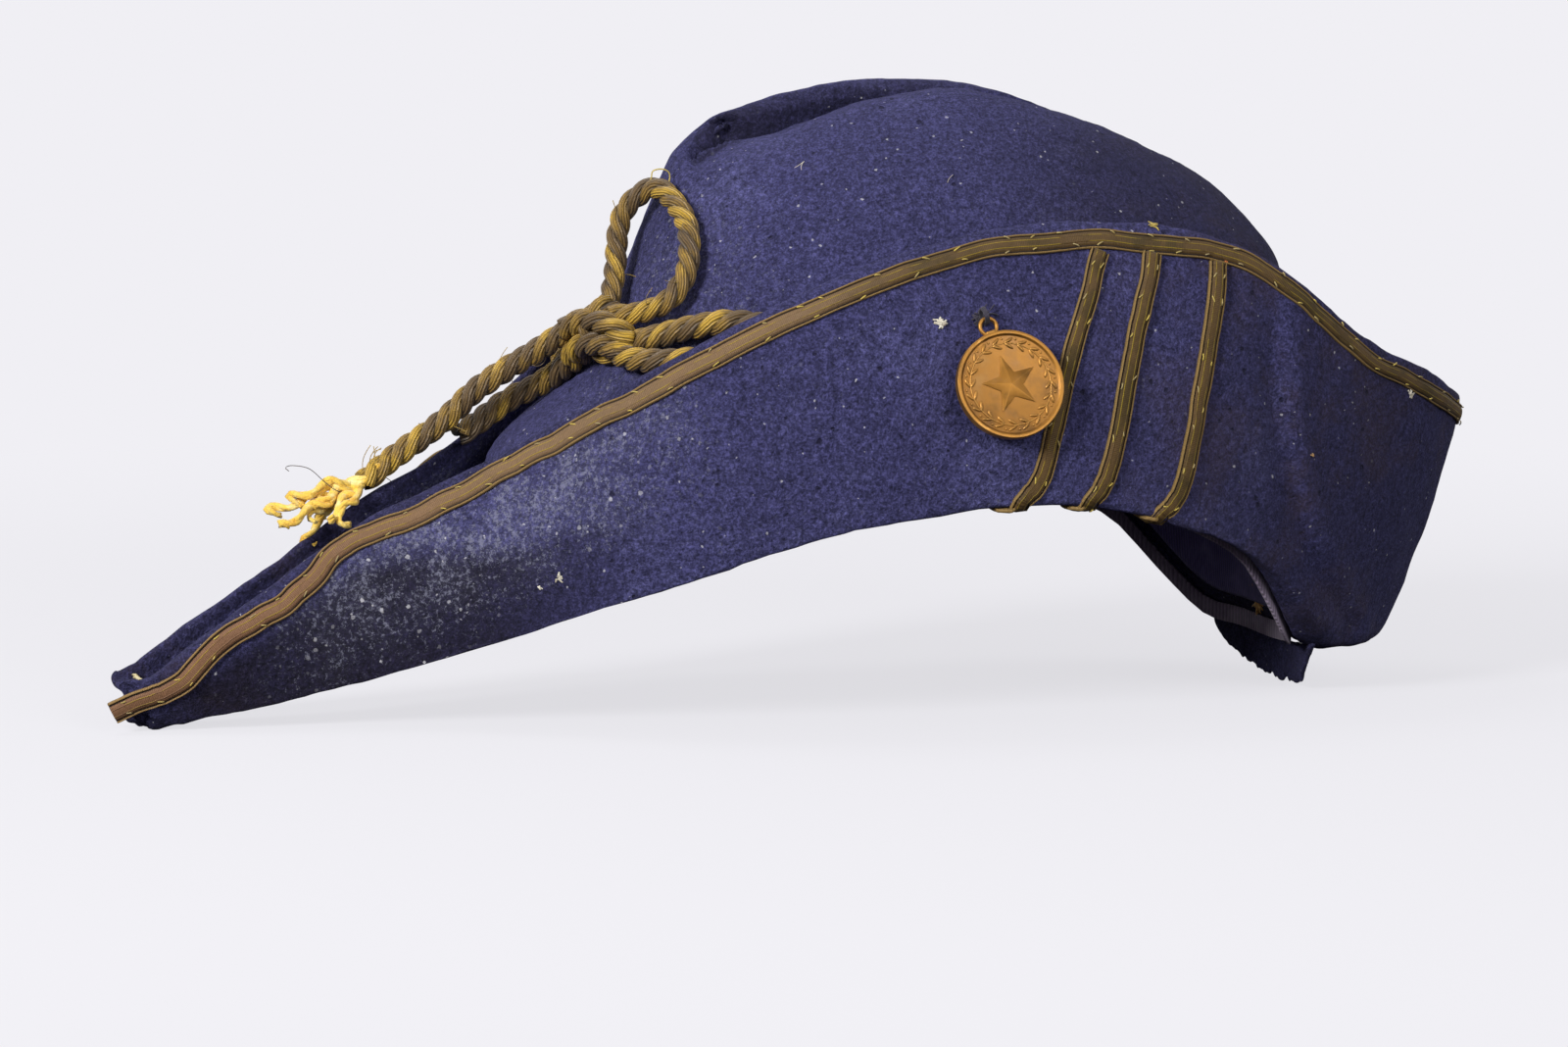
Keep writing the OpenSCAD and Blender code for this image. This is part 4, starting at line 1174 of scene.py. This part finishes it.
def napeStrip(setup):
    # torn strip of felt: its free edge is frayed, its sewn edge straight
    bm = smoothed(cadCopy("nape_strip"), 3)
    top = max(corner.co.z for corner in bm.verts)
    left = min(corner.co.y for corner in bm.verts)
    bm.normal_update()
    for corner in bm.verts:
        free = 1 - min(max((corner.co.z - 0.0005) / setup["free"], 0), 1)
        torn = noise.noise(corner.co * 260) + 0.7 * noise.noise(corner.co * 620)
        corner.co.z = max(corner.co.z + setup["torn"] * torn * free, 0.0002)
        # its left end runs out in a point
        end = 1 - min(max((corner.co.y - left) / setup["point"], 0), 1)
        corner.co.z += (top - corner.co.z) * 0.7 * end
        corner.co.x += 4 * mm * end * end
        corner.co += corner.normal * noise.noise(corner.co * 180) * setup["rough"]
    return finishPiece("napeStrip", bm, "hat", feltShadedCopy, ("nape_strip",))


napeStrip({"free": 12 * mm, "torn": 1.6 * mm, "rough": 0.5 * mm, "point": 16 * mm})


def ringAttribute(bm, centre=0.003):
    # distance round the head as an attribute, for ribs and threads that follow the band
    along = bm.verts.layers.float.new("around")
    for corner in bm.verts:
        angle = math.atan2(corner.co.y, corner.co.x - centre)
        corner[along] = (angle if angle > -3.1415 else -angle) * 0.09
    return bm


def bandMaterial(name, light, dark, rib, depth):
    material, tree, shader = startMaterial(name, 0.8, Sheen_Weight=0.2)
    vector = objectVector(tree)
    around = addNode(tree, "ShaderNodeAttribute", attribute_name="around")
    ribs = calc(tree, "PINGPONG", around.outputs["Fac"], rib / 2)
    ribbed = calc(tree, "MULTIPLY", ribs, 2 / rib)
    blotch = noiseOut(tree, vector, 70.0, 5.0)
    base = ramp(tree, blotch, [(0.35, dark), (0.65, light)])
    base = blendColor(tree, 1.0, base, ramp(tree, ribbed, [(0.0, 0.6), (0.7, 1.15)], "LINEAR"), "MULTIPLY")
    base = blendColor(tree, calc(tree, "MULTIPLY", noiseOut(tree, vector, 900.0, 3.0), 0.4), base, dark)
    tree.links.new(base, shader.inputs["Base Color"])
    addBump(tree, shader, calc(tree, "ADD", ribbed, noiseOut(tree, vector, 300.0, 3.0)), 0.7, depth)
    return material


sweatFinish = bandMaterial("sweatbandCotton", tone(134, 124, 184), tone(92, 82, 140), 0.7 * mm, 0.0002)
tapeFinish = bandMaterial("grosgrainTape", tone(172, 156, 178), tone(124, 108, 134), 1.1 * mm, 0.0004)
sweatMesh = smoothed(cadCopy("sweatband"), 1)
roughen(sweatMesh, [(0.016, 0.35 * mm)])
finishPiece("sweatband", ringAttribute(sweatMesh), "hat", sweatFinish, ("sweatband",))
tapeMesh = cadCopy("head_tape")
bmesh.ops.bevel(tapeMesh, geom=tapeMesh.edges, offset=0.15 * mm, segments=1, affect="EDGES", profile=0.5,
                material=-1)
finishPiece("headTape", ringAttribute(tapeMesh), "hat", tapeFinish, ("head_tape",))
print("bands made")


# medal

medalSet = {
    "radius": 14.5 * mm,
    "thick": 2.6 * mm,
    "rim": 1.4 * mm,
    "rimHeight": 0.5 * mm,
    "star": 8.0 * mm,
    "leaves": 20,
    "loopRadius": 2.25 * mm,
    "loopWire": 0.55 * mm,
    "loopSunk": 0.99 * mm,   # how far the loop's foot lies inside the rim
}
joints = {joint["name"]: joint for joint in frame["joints"]}


def loopHeight(setup):
    return setup["radius"] + setup["loopRadius"] + setup["loopWire"] - setup["loopSunk"]


def medalFrame(setup):
    # it swings about the way its face looks, and lifts about the loop's upper bar
    swing, lift = joints["medal_swing"], joints["medal_lift"]
    right = -Vector(lift["axis"]).normalized()
    up = Vector(swing["axis"]).cross(right).normalized()
    matrix = Matrix((right, up, right.cross(up))).transposed().to_4x4()
    matrix.translation = Vector(lift["pos_m"]) - up * (loopHeight(setup) + setup["loopRadius"])
    return matrix


def medalPiece(setup):
    bm = bmesh.new()
    half = setup["thick"] / 2
    made = bmesh.ops.create_circle(bm, cap_ends=True, radius=setup["radius"], segments=96)
    bmesh.ops.translate(bm, verts=made["verts"], vec=(0, 0, -half))
    back = list(bm.faces)
    raised = bmesh.ops.extrude_face_region(bm, geom=back)["geom"]
    bmesh.ops.translate(bm, verts=[v for v in raised if isinstance(v, bmesh.types.BMVert)],
                        vec=(0, 0, setup["thick"]))
    bmesh.ops.recalc_face_normals(bm, faces=bm.faces)
    front = [face for face in bm.faces if face.normal.z > 0.9]
    bmesh.ops.inset_region(bm, faces=front, thickness=setup["rim"] * 0.7, depth=0)
    bmesh.ops.inset_region(bm, faces=front, thickness=setup["rim"] * 0.3, depth=-setup["rimHeight"])
    backFaces = [face for face in bm.faces if face.normal.z < -0.9]
    bmesh.ops.inset_region(bm, faces=backFaces, thickness=setup["rim"] * 0.7, depth=0)
    bmesh.ops.inset_region(bm, faces=backFaces, thickness=setup["rim"] * 0.3, depth=-setup["rimHeight"] * 0.6)
    corners = [edge for edge in bm.edges if edge.is_manifold and edge.calc_face_angle(0) > 0.6]
    bmesh.ops.bevel(bm, geom=corners, offset=0.16 * mm, segments=2, affect="EDGES", profile=0.5, material=-1)
    field = half - setup["rimHeight"]

    # five-armed star with a ridge down each arm
    star = bmesh.new()
    tips = []
    for k in range(10):
        reach = setup["star"] if k % 2 == 0 else setup["star"] * 0.43
        angle = math.pi / 5 * k
        tips.append(star.verts.new((reach * math.sin(angle), reach * math.cos(angle), field - 0.1 * mm)))
    outline = star.faces.new(tips)
    lifted = bmesh.ops.extrude_face_region(star, geom=[outline])["geom"]
    bmesh.ops.translate(star, verts=[v for v in lifted if isinstance(v, bmesh.types.BMVert)],
                        vec=(0, 0, 0.35 * mm))
    topFace = [item for item in lifted if isinstance(item, bmesh.types.BMFace)]
    bmesh.ops.poke(star, faces=topFace, offset=0.0)
    heart = min(star.verts, key=lambda v: (v.co.x ** 2 + v.co.y ** 2, -v.co.z))
    heart.co.z = field + 0.95 * mm
    bmesh.ops.recalc_face_normals(star, faces=star.faces)
    sharp = [edge for edge in star.edges if edge.is_manifold and edge.calc_face_angle(0) > 0.35]
    bmesh.ops.bevel(star, geom=sharp, offset=0.1 * mm, segments=2, affect="EDGES", profile=0.5, material=-1)
    addMesh(bm, star, Matrix.Identity(4))

    # wreath: pairs of leaves and a berry between them
    ringRadius = setup["radius"] - setup["rim"] - 2.1 * mm
    for k in range(setup["leaves"]):
        angle = 2 * math.pi * k / setup["leaves"]
        for side in (-1, 1):
            leaf = bmesh.new()
            bmesh.ops.create_uvsphere(leaf, u_segments=10, v_segments=6, radius=1.0)
            bmesh.ops.scale(leaf, verts=leaf.verts, vec=(1.45 * mm, 0.48 * mm, 0.42 * mm))
            place = (Matrix.Rotation(angle, 4, "Z")
                     @ Matrix.Translation((ringRadius + side * 0.75 * mm, 0, field))
                     @ Matrix.Rotation(math.radians(90 + side * 32), 4, "Z"))
            addMesh(bm, leaf, place)
        berry = bmesh.new()
        bmesh.ops.create_uvsphere(berry, u_segments=8, v_segments=6, radius=0.36 * mm)
        between = angle + math.pi / setup["leaves"]
        addMesh(bm, berry, Matrix.Rotation(between, 4, "Z")
                @ Matrix.Translation((ringRadius + 1.2 * mm, 0, field)))
    stem = bmesh.new()
    ringBar(stem, ringRadius, 0.22 * mm, 72, 6)
    addMesh(bm, stem, Matrix.Translation((0, 0, field + 0.05 * mm)))

    # loop and the little neck that joins it to the rim
    loop = bmesh.new()
    ringBar(loop, setup["loopRadius"], setup["loopWire"], 40, 12)
    addMesh(bm, loop, Matrix.Translation((0, loopHeight(setup), 0)))
    neck = bmesh.new()
    bmesh.ops.create_cube(neck, size=1.0)
    bmesh.ops.scale(neck, verts=neck.verts, vec=(2.6 * mm, 1.1 * mm, 1.5 * mm))
    bmesh.ops.bevel(neck, geom=neck.edges, offset=0.35 * mm, segments=3, affect="EDGES", profile=0.5,
                    material=-1)
    addMesh(bm, neck, Matrix.Translation((0, setup["radius"] + 0.1 * mm, 0)))

    bm.transform(medalFrame(setup))
    return finishPiece("medal", bm, "medal", bronzeFinish, ("medal",))


def addMesh(target, part, place):
    part.transform(place)
    mesh = bpy.data.meshes.new("part")
    part.to_mesh(mesh)
    part.free()
    target.from_mesh(mesh)
    bpy.data.meshes.remove(mesh)


def ringBar(bm, radius, wire, steps, sides):
    # a round bar bent into a closed ring
    made = bmesh.ops.create_circle(bm, radius=wire, segments=sides)
    bmesh.ops.rotate(bm, verts=made["verts"], cent=(0, 0, 0), matrix=Matrix.Rotation(math.pi / 2, 3, "X"))
    bmesh.ops.translate(bm, verts=made["verts"], vec=(radius, 0, 0))
    bmesh.ops.spin(bm, geom=bm.verts[:] + bm.edges[:], cent=(0, 0, 0), axis=(0, 0, 1), angle=2 * math.pi,
                   steps=steps, use_merge=True, use_duplicate=False)
    bmesh.ops.remove_doubles(bm, verts=bm.verts, dist=0.000001)
    bmesh.ops.recalc_face_normals(bm, faces=bm.faces)


def bronzeMaterial():
    material, tree, shader = startMaterial("agedBronze", 0.42, Metallic=0.75)
    vector = objectVector(tree)
    blotch = noiseOut(tree, vector, 130.0, 5.0)
    base = ramp(tree, blotch, [(0.35, tone(112, 76, 26)), (0.55, tone(146, 100, 36)),
                               (0.75, tone(160, 118, 62))])
    # grime sits in the corners of the relief and the ridges are rubbed bright
    pointy = addNode(tree, "ShaderNodeNewGeometry").outputs["Pointiness"]
    low = ramp(tree, pointy, [(0.44, 1.0), (0.5, 0.0)])
    high = ramp(tree, pointy, [(0.51, 0.0), (0.58, 1.0)])
    base = blendColor(tree, calc(tree, "MULTIPLY", low, 0.7), base, tone(112, 82, 58))
    base = blendColor(tree, calc(tree, "MULTIPLY", high, 0.5), base, tone(200, 150, 80))
    film = ramp(tree, noiseOut(tree, vector, 420.0, 6.0, 0.7), [(0.5, 0.0), (0.7, 1.0)])
    base = blendColor(tree, calc(tree, "MULTIPLY", film, 0.3), base, tone(128, 96, 66))
    tree.links.new(base, shader.inputs["Base Color"])
    rough = ramp(tree, blotch, [(0.3, 0.34), (0.7, 0.52)], "LINEAR")
    tree.links.new(rough, shader.inputs["Roughness"])
    addBump(tree, shader, noiseOut(tree, vector, 700.0, 4.0), 0.18, 0.0002)
    return material


bronzeFinish = bronzeMaterial()
medalPiece(medalSet)


def darkThread():
    material, tree, shader = startMaterial("darkThread", 0.75, Sheen_Weight=0.2)
    vector = objectVector(tree)
    base = ramp(tree, noiseOut(tree, vector, 500.0, 3.0),
                [(0.35, tone(20, 18, 30)), (0.65, tone(48, 42, 58))])
    tree.links.new(base, shader.inputs["Base Color"])
    addBump(tree, shader, noiseOut(tree, vector, 1900.0, 2.0), 0.6, 0.0003)
    return material


darkFinish = darkThread()


def threadLoop(setup):
    # three turns of sewing thread round the medal's loop
    low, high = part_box("medal_thread")
    centre = (Vector(low) + Vector(high)) / 2
    matrix = medalFrame(medalSet)
    bm = bmesh.new()
    for turn in range(setup["turns"]):
        ring = bmesh.new()
        ringBar(ring, setup["radius"] + setup["step"] * (turn - 1), setup["wire"], 36, 7)
        ring.transform(Matrix.Translation((0, 0, (turn - 1) * setup["side"])))
        addMesh(bm, ring, Matrix.Rotation(math.pi / 2, 4, "Y"))
    rotation = matrix.to_3x3().to_4x4()
    bm.transform(Matrix.Translation(centre) @ rotation)
    return finishPiece("medalThread", bm, "thread_loop", darkFinish, ("medal_thread",))


threadLoop({"turns": 3, "radius": 2.05 * mm, "step": 0.12 * mm, "wire": 0.3 * mm, "side": 0.34 * mm})


def tackPiece(setup):
    # sewn tack with loose ends, behind the medal's thread
    dice = random.Random(setup["seed"])
    low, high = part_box("medal_tack")
    centre = (Vector(low) + Vector(high)) / 2
    matrix = medalFrame(medalSet)
    right, up, out = (matrix.to_3x3().col[i] for i in range(3))
    bm = bmesh.new()
    for number in range(setup["threads"]):
        angle = dice.uniform(0, math.pi)
        lean = right * math.cos(angle) + up * math.sin(angle)
        span = dice.uniform(1.6, 2.4) * mm
        aside = lean.cross(out) * dice.uniform(-1.2, 1.2) * mm
        arc = [centre + aside + lean * span * (t - 0.5) * 2
               + out * (0.4 * mm * math.sin(math.pi * t) - 0.5 * mm)
               for t in (0, 0.17, 0.34, 0.5, 0.66, 0.83, 1)]
        sweep(bm, circleProfile(setup["wire"], 6), rollingFrames(arc), span / 3)
    for number in range(setup["ends"]):
        heading = (right * dice.uniform(-0.4, 1.2) + up * dice.uniform(-0.2, 1)
                   - out * dice.uniform(0.05, 0.2)).normalized()
        bend = Vector((dice.uniform(-1, 1), dice.uniform(-1, 1), dice.uniform(-1, 1)))
        point = centre
        path = [point]
        for step in range(6):
            heading = (heading + bend * 0.3).normalized()
            point = point + heading * 0.9 * mm
            path.append(point)
        sweep(bm, circleProfile(setup["wire"] * 0.7, 5), rollingFrames(path), 0.9 * mm)
    return finishPiece("medalTack", bm, "hat", darkFinish, ("medal_tack",))


tackPiece({"seed": 3, "threads": 12, "ends": 7, "wire": 0.26 * mm})
print("medal made")


# lint and loose threads

def plainThread(name, color, second):
    material, tree, shader = startMaterial(name, 0.75, Sheen_Weight=0.2)
    base = ramp(tree, noiseOut(tree, objectVector(tree), 700.0, 2.0), [(0.4, color), (0.6, second)])
    tree.links.new(base, shader.inputs["Base Color"])
    return material


lintFinish = plainThread("paleLint", tone(226, 220, 204), tone(190, 180, 160))
tuftFinish = plainThread("tanTuft", tone(250, 206, 132), tone(214, 160, 92))
tanFinish = plainThread("tanLint", tone(190, 152, 100), tone(150, 112, 70))
amberFinish = plainThread("amberThread", tone(216, 120, 44), tone(190, 96, 30))
hairFinish = plainThread("looseHair", tone(84, 66, 58), tone(58, 46, 44))
tuftSet = [
    ("fluff", brimSurface, (-4, -71, 109), 14, (1.4, 3.0), 0.7, 0.24, "X", lintFinish),
    ("flake", brimSurface, (142, -37, 84), 9, (1.2, 2.2), 0.8, 0.2, "Z", lintFinish),
    ("fleckFront", brimSurface, (-100, -44, 42), 9, (0.8, 1.8), 1.0, 0.22, "Z", lintFinish),
    ("fleckLow", brimSurface, (-105, -41, 39), 6, (0.6, 1.2), 0.5, 0.16, "Z", lintFinish),
    ("fleckRear", brimSurface, (105, -57, 70), 4, (0.6, 1.2), 0.4, 0.16, "X", tanFinish),
    ("amberFleck", brimSurface, (80, -59, 123), 5, (0.8, 1.4), 0.5, 0.18, "X", amberFinish),
    ("threadKnot", brimSurface, (60, -59, 134), 8, (1.4, 2.8), 0.7, 0.17, "X", threadFinish),
    ("tanTuft", crownSurface, (116, 10, 22), 20, (5.0, 8.5), 1.0, 0.25, "Z", tuftFinish),
    ("crownLint", crownSurface, (-30, -28, 148), 2, (3.0, 4.2), 0.3, 0.08, "Z", lintFinish),
    ("crownFleck", crownSurface, (7, -42, 145), 1, (3.0, 4.0), 0.3, 0.08, "Z", lintFinish),
]


def surfaceTuft(name, surface, place, count, lengths, spread, radius, lean, material):
    # a small tangle of fibres lying on the felt
    dice = random.Random(name)
    spot, up, index, far = surface.find_nearest(Vector(place) * mm)
    main = Vector((1, 0, 0)) if lean == "X" else Vector((0, 0, 1))
    main = (main - up * main.dot(up)).normalized()
    side = up.cross(main)
    bm = bmesh.new()
    for number in range(count):
        heading = (main * dice.uniform(0.4, 1) * dice.choice((-1, 1)) + side * dice.uniform(-0.7, 0.7)
                   + up * dice.uniform(0, 0.25)).normalized()
        reach = dice.uniform(*lengths) * mm
        point = spot + (side * dice.uniform(-spread, spread) + main * dice.uniform(-spread, spread)
                        + up * dice.uniform(0.2, 0.7)) * mm - heading * reach / 2
        bend = side * dice.uniform(-0.5, 0.5) - up * 0.1
        path = [point]
        for step in range(5):
            heading = (heading + bend * 0.4).normalized()
            point = point + heading * reach / 5
            path.append(point)
        sweep(bm, circleProfile(radius * mm, 5), rollingFrames(path), reach / 5)
    return finishPiece(name, bm, "hat", material)


for entry in tuftSet:
    surfaceTuft(*entry)


def looseStrand(name, places, radius, material):
    bm = bmesh.new()
    path = smoothRoute(places, 0.6 * mm)
    sweep(bm, circleProfile(radius, 5), rollingFrames(path), 0.6 * mm)
    return finishPiece(name, bm, "hat", material)


looseStrand("strayHair", [(-162.5, 5, 67), (-163.5, 5, 68), (-161.5, 5, 68.5), (-157, 5, 67.5), (-153, 5, 64),
                          (-150.5, 5, 62), (-146, 7, 59.5)], 0.11 * mm, hairFinish)
looseStrand("bowThread", [(-67, -8, 142.5), (-65.5, -8, 144.5), (-65, -8, 146.5), (-62.5, -8, 147),
                          (-60.5, -8, 146), (-60.5, -8, 143.5), (-62, -8.5, 141)], 0.2 * mm, threadFinish)
print("lint laid")


# floor and light

stageSet = {
    "size": 6.0,
    "seen": tone(240, 239, 244),   # what the camera sees round the hat
    "floor": tone(62, 60, 66),     # what lights the hat from below
    "glow": 0.8,
    "shadowNear": 0.2,
    "shadowFar": 0.75,
}


def floorPiece(setup):
    bm = bmesh.new()
    bmesh.ops.create_grid(bm, x_segments=1, y_segments=1, size=setup["size"])
    mesh = bpy.data.meshes.new("floor")
    bm.to_mesh(mesh)
    bm.free()
    piece = bpy.data.objects.new("floor", mesh)
    scene.collection.objects.link(piece)
    material, tree, shader = startMaterial("paleFloor", 0.9, Specular_IOR_Level=0.0)
    lights = tree.nodes.new("ShaderNodeLightPath")
    tree.links.new(blendColor(tree, lights.outputs["Is Camera Ray"], setup["floor"], setup["seen"]),
                   shader.inputs["Base Color"])
    glow = addNode(tree, "ShaderNodeEmission")
    glow.inputs["Color"].default_value = setup["seen"]
    glow.inputs["Strength"].default_value = 1.0
    mix = tree.nodes.new("ShaderNodeMixShader")
    rays = tree.nodes.new("ShaderNodeLightPath")
    # the shadow fades out well before the floor's edge
    spot = addNode(tree, "ShaderNodeVectorMath", operation="LENGTH")
    tree.links.new(objectVector(tree), spot.inputs[0])
    far = addNode(tree, "ShaderNodeMapRange", interpolation_type="SMOOTHSTEP")
    far.inputs["From Min"].default_value = setup["shadowNear"]
    far.inputs["From Max"].default_value = setup["shadowFar"]
    far.inputs["To Min"].default_value = setup["glow"]
    tree.links.new(spot.outputs["Value"], far.inputs["Value"])
    share = calc(tree, "MULTIPLY", rays.outputs["Is Camera Ray"], far.outputs[0])
    tree.links.new(share, mix.inputs[0])
    tree.links.new(shader.outputs[0], mix.inputs[1])
    tree.links.new(glow.outputs[0], mix.inputs[2])
    tree.links.new(mix.outputs[0], tree.nodes["Material Output"].inputs["Surface"])
    mesh.materials.append(material)
    return piece


floorPiece(stageSet)


def studioWorld(tint, strength):
    world = bpy.data.worlds.new("studio")
    scene.world = world
    world.use_nodes = True
    tree = world.node_tree
    shader = tree.nodes["Background"]
    shader.inputs["Color"].default_value = (1, 1, 1, 1)
    shader.inputs["Strength"].default_value = strength
    seen = addNode(tree, "ShaderNodeBackground")
    seen.inputs["Color"].default_value = tint
    seen.inputs["Strength"].default_value = 1.0
    rays = tree.nodes.new("ShaderNodeLightPath")
    direct = calc(tree, "MAXIMUM", rays.outputs["Is Camera Ray"],
                  calc(tree, "MAXIMUM", rays.outputs["Is Glossy Ray"], rays.outputs["Is Transmission Ray"]))
    mix = tree.nodes.new("ShaderNodeMixShader")
    tree.links.new(direct, mix.inputs[0])
    tree.links.new(shader.outputs[0], mix.inputs[1])
    tree.links.new(seen.outputs[0], mix.inputs[2])
    tree.links.new(mix.outputs[0], tree.nodes["World Output"].inputs["Surface"])


studioWorld(stageSet["seen"], 0.26)

lampSet = {
    "key": {"place": (-1.65, -1.15, 0.95), "size": 0.6, "power": 45.0},
    "top": {"place": (-0.6, 0.5, 1.9), "size": 0.9, "power": 6.0},
    "side": {"place": (0.5, -1.9, 0.75), "size": 0.9, "power": 14.0},
}


def addLamp(name, setup):
    data = bpy.data.lights.new(name, "AREA")
    data.shape = "DISK"
    data.size = setup["size"]
    data.energy = setup["power"]
    lamp = bpy.data.objects.new(name, data)
    lamp.location = setup["place"]
    aim = Vector((0, 0, 0.08)) - Vector(setup["place"])
    lamp.rotation_euler = aim.to_track_quat("-Z", "Y").to_euler()
    scene.collection.objects.link(lamp)


for name, setup in lampSet.items():
    addLamp(name + "Lamp", setup)
scene.view_settings.view_transform = "Standard"
print("stage lit")
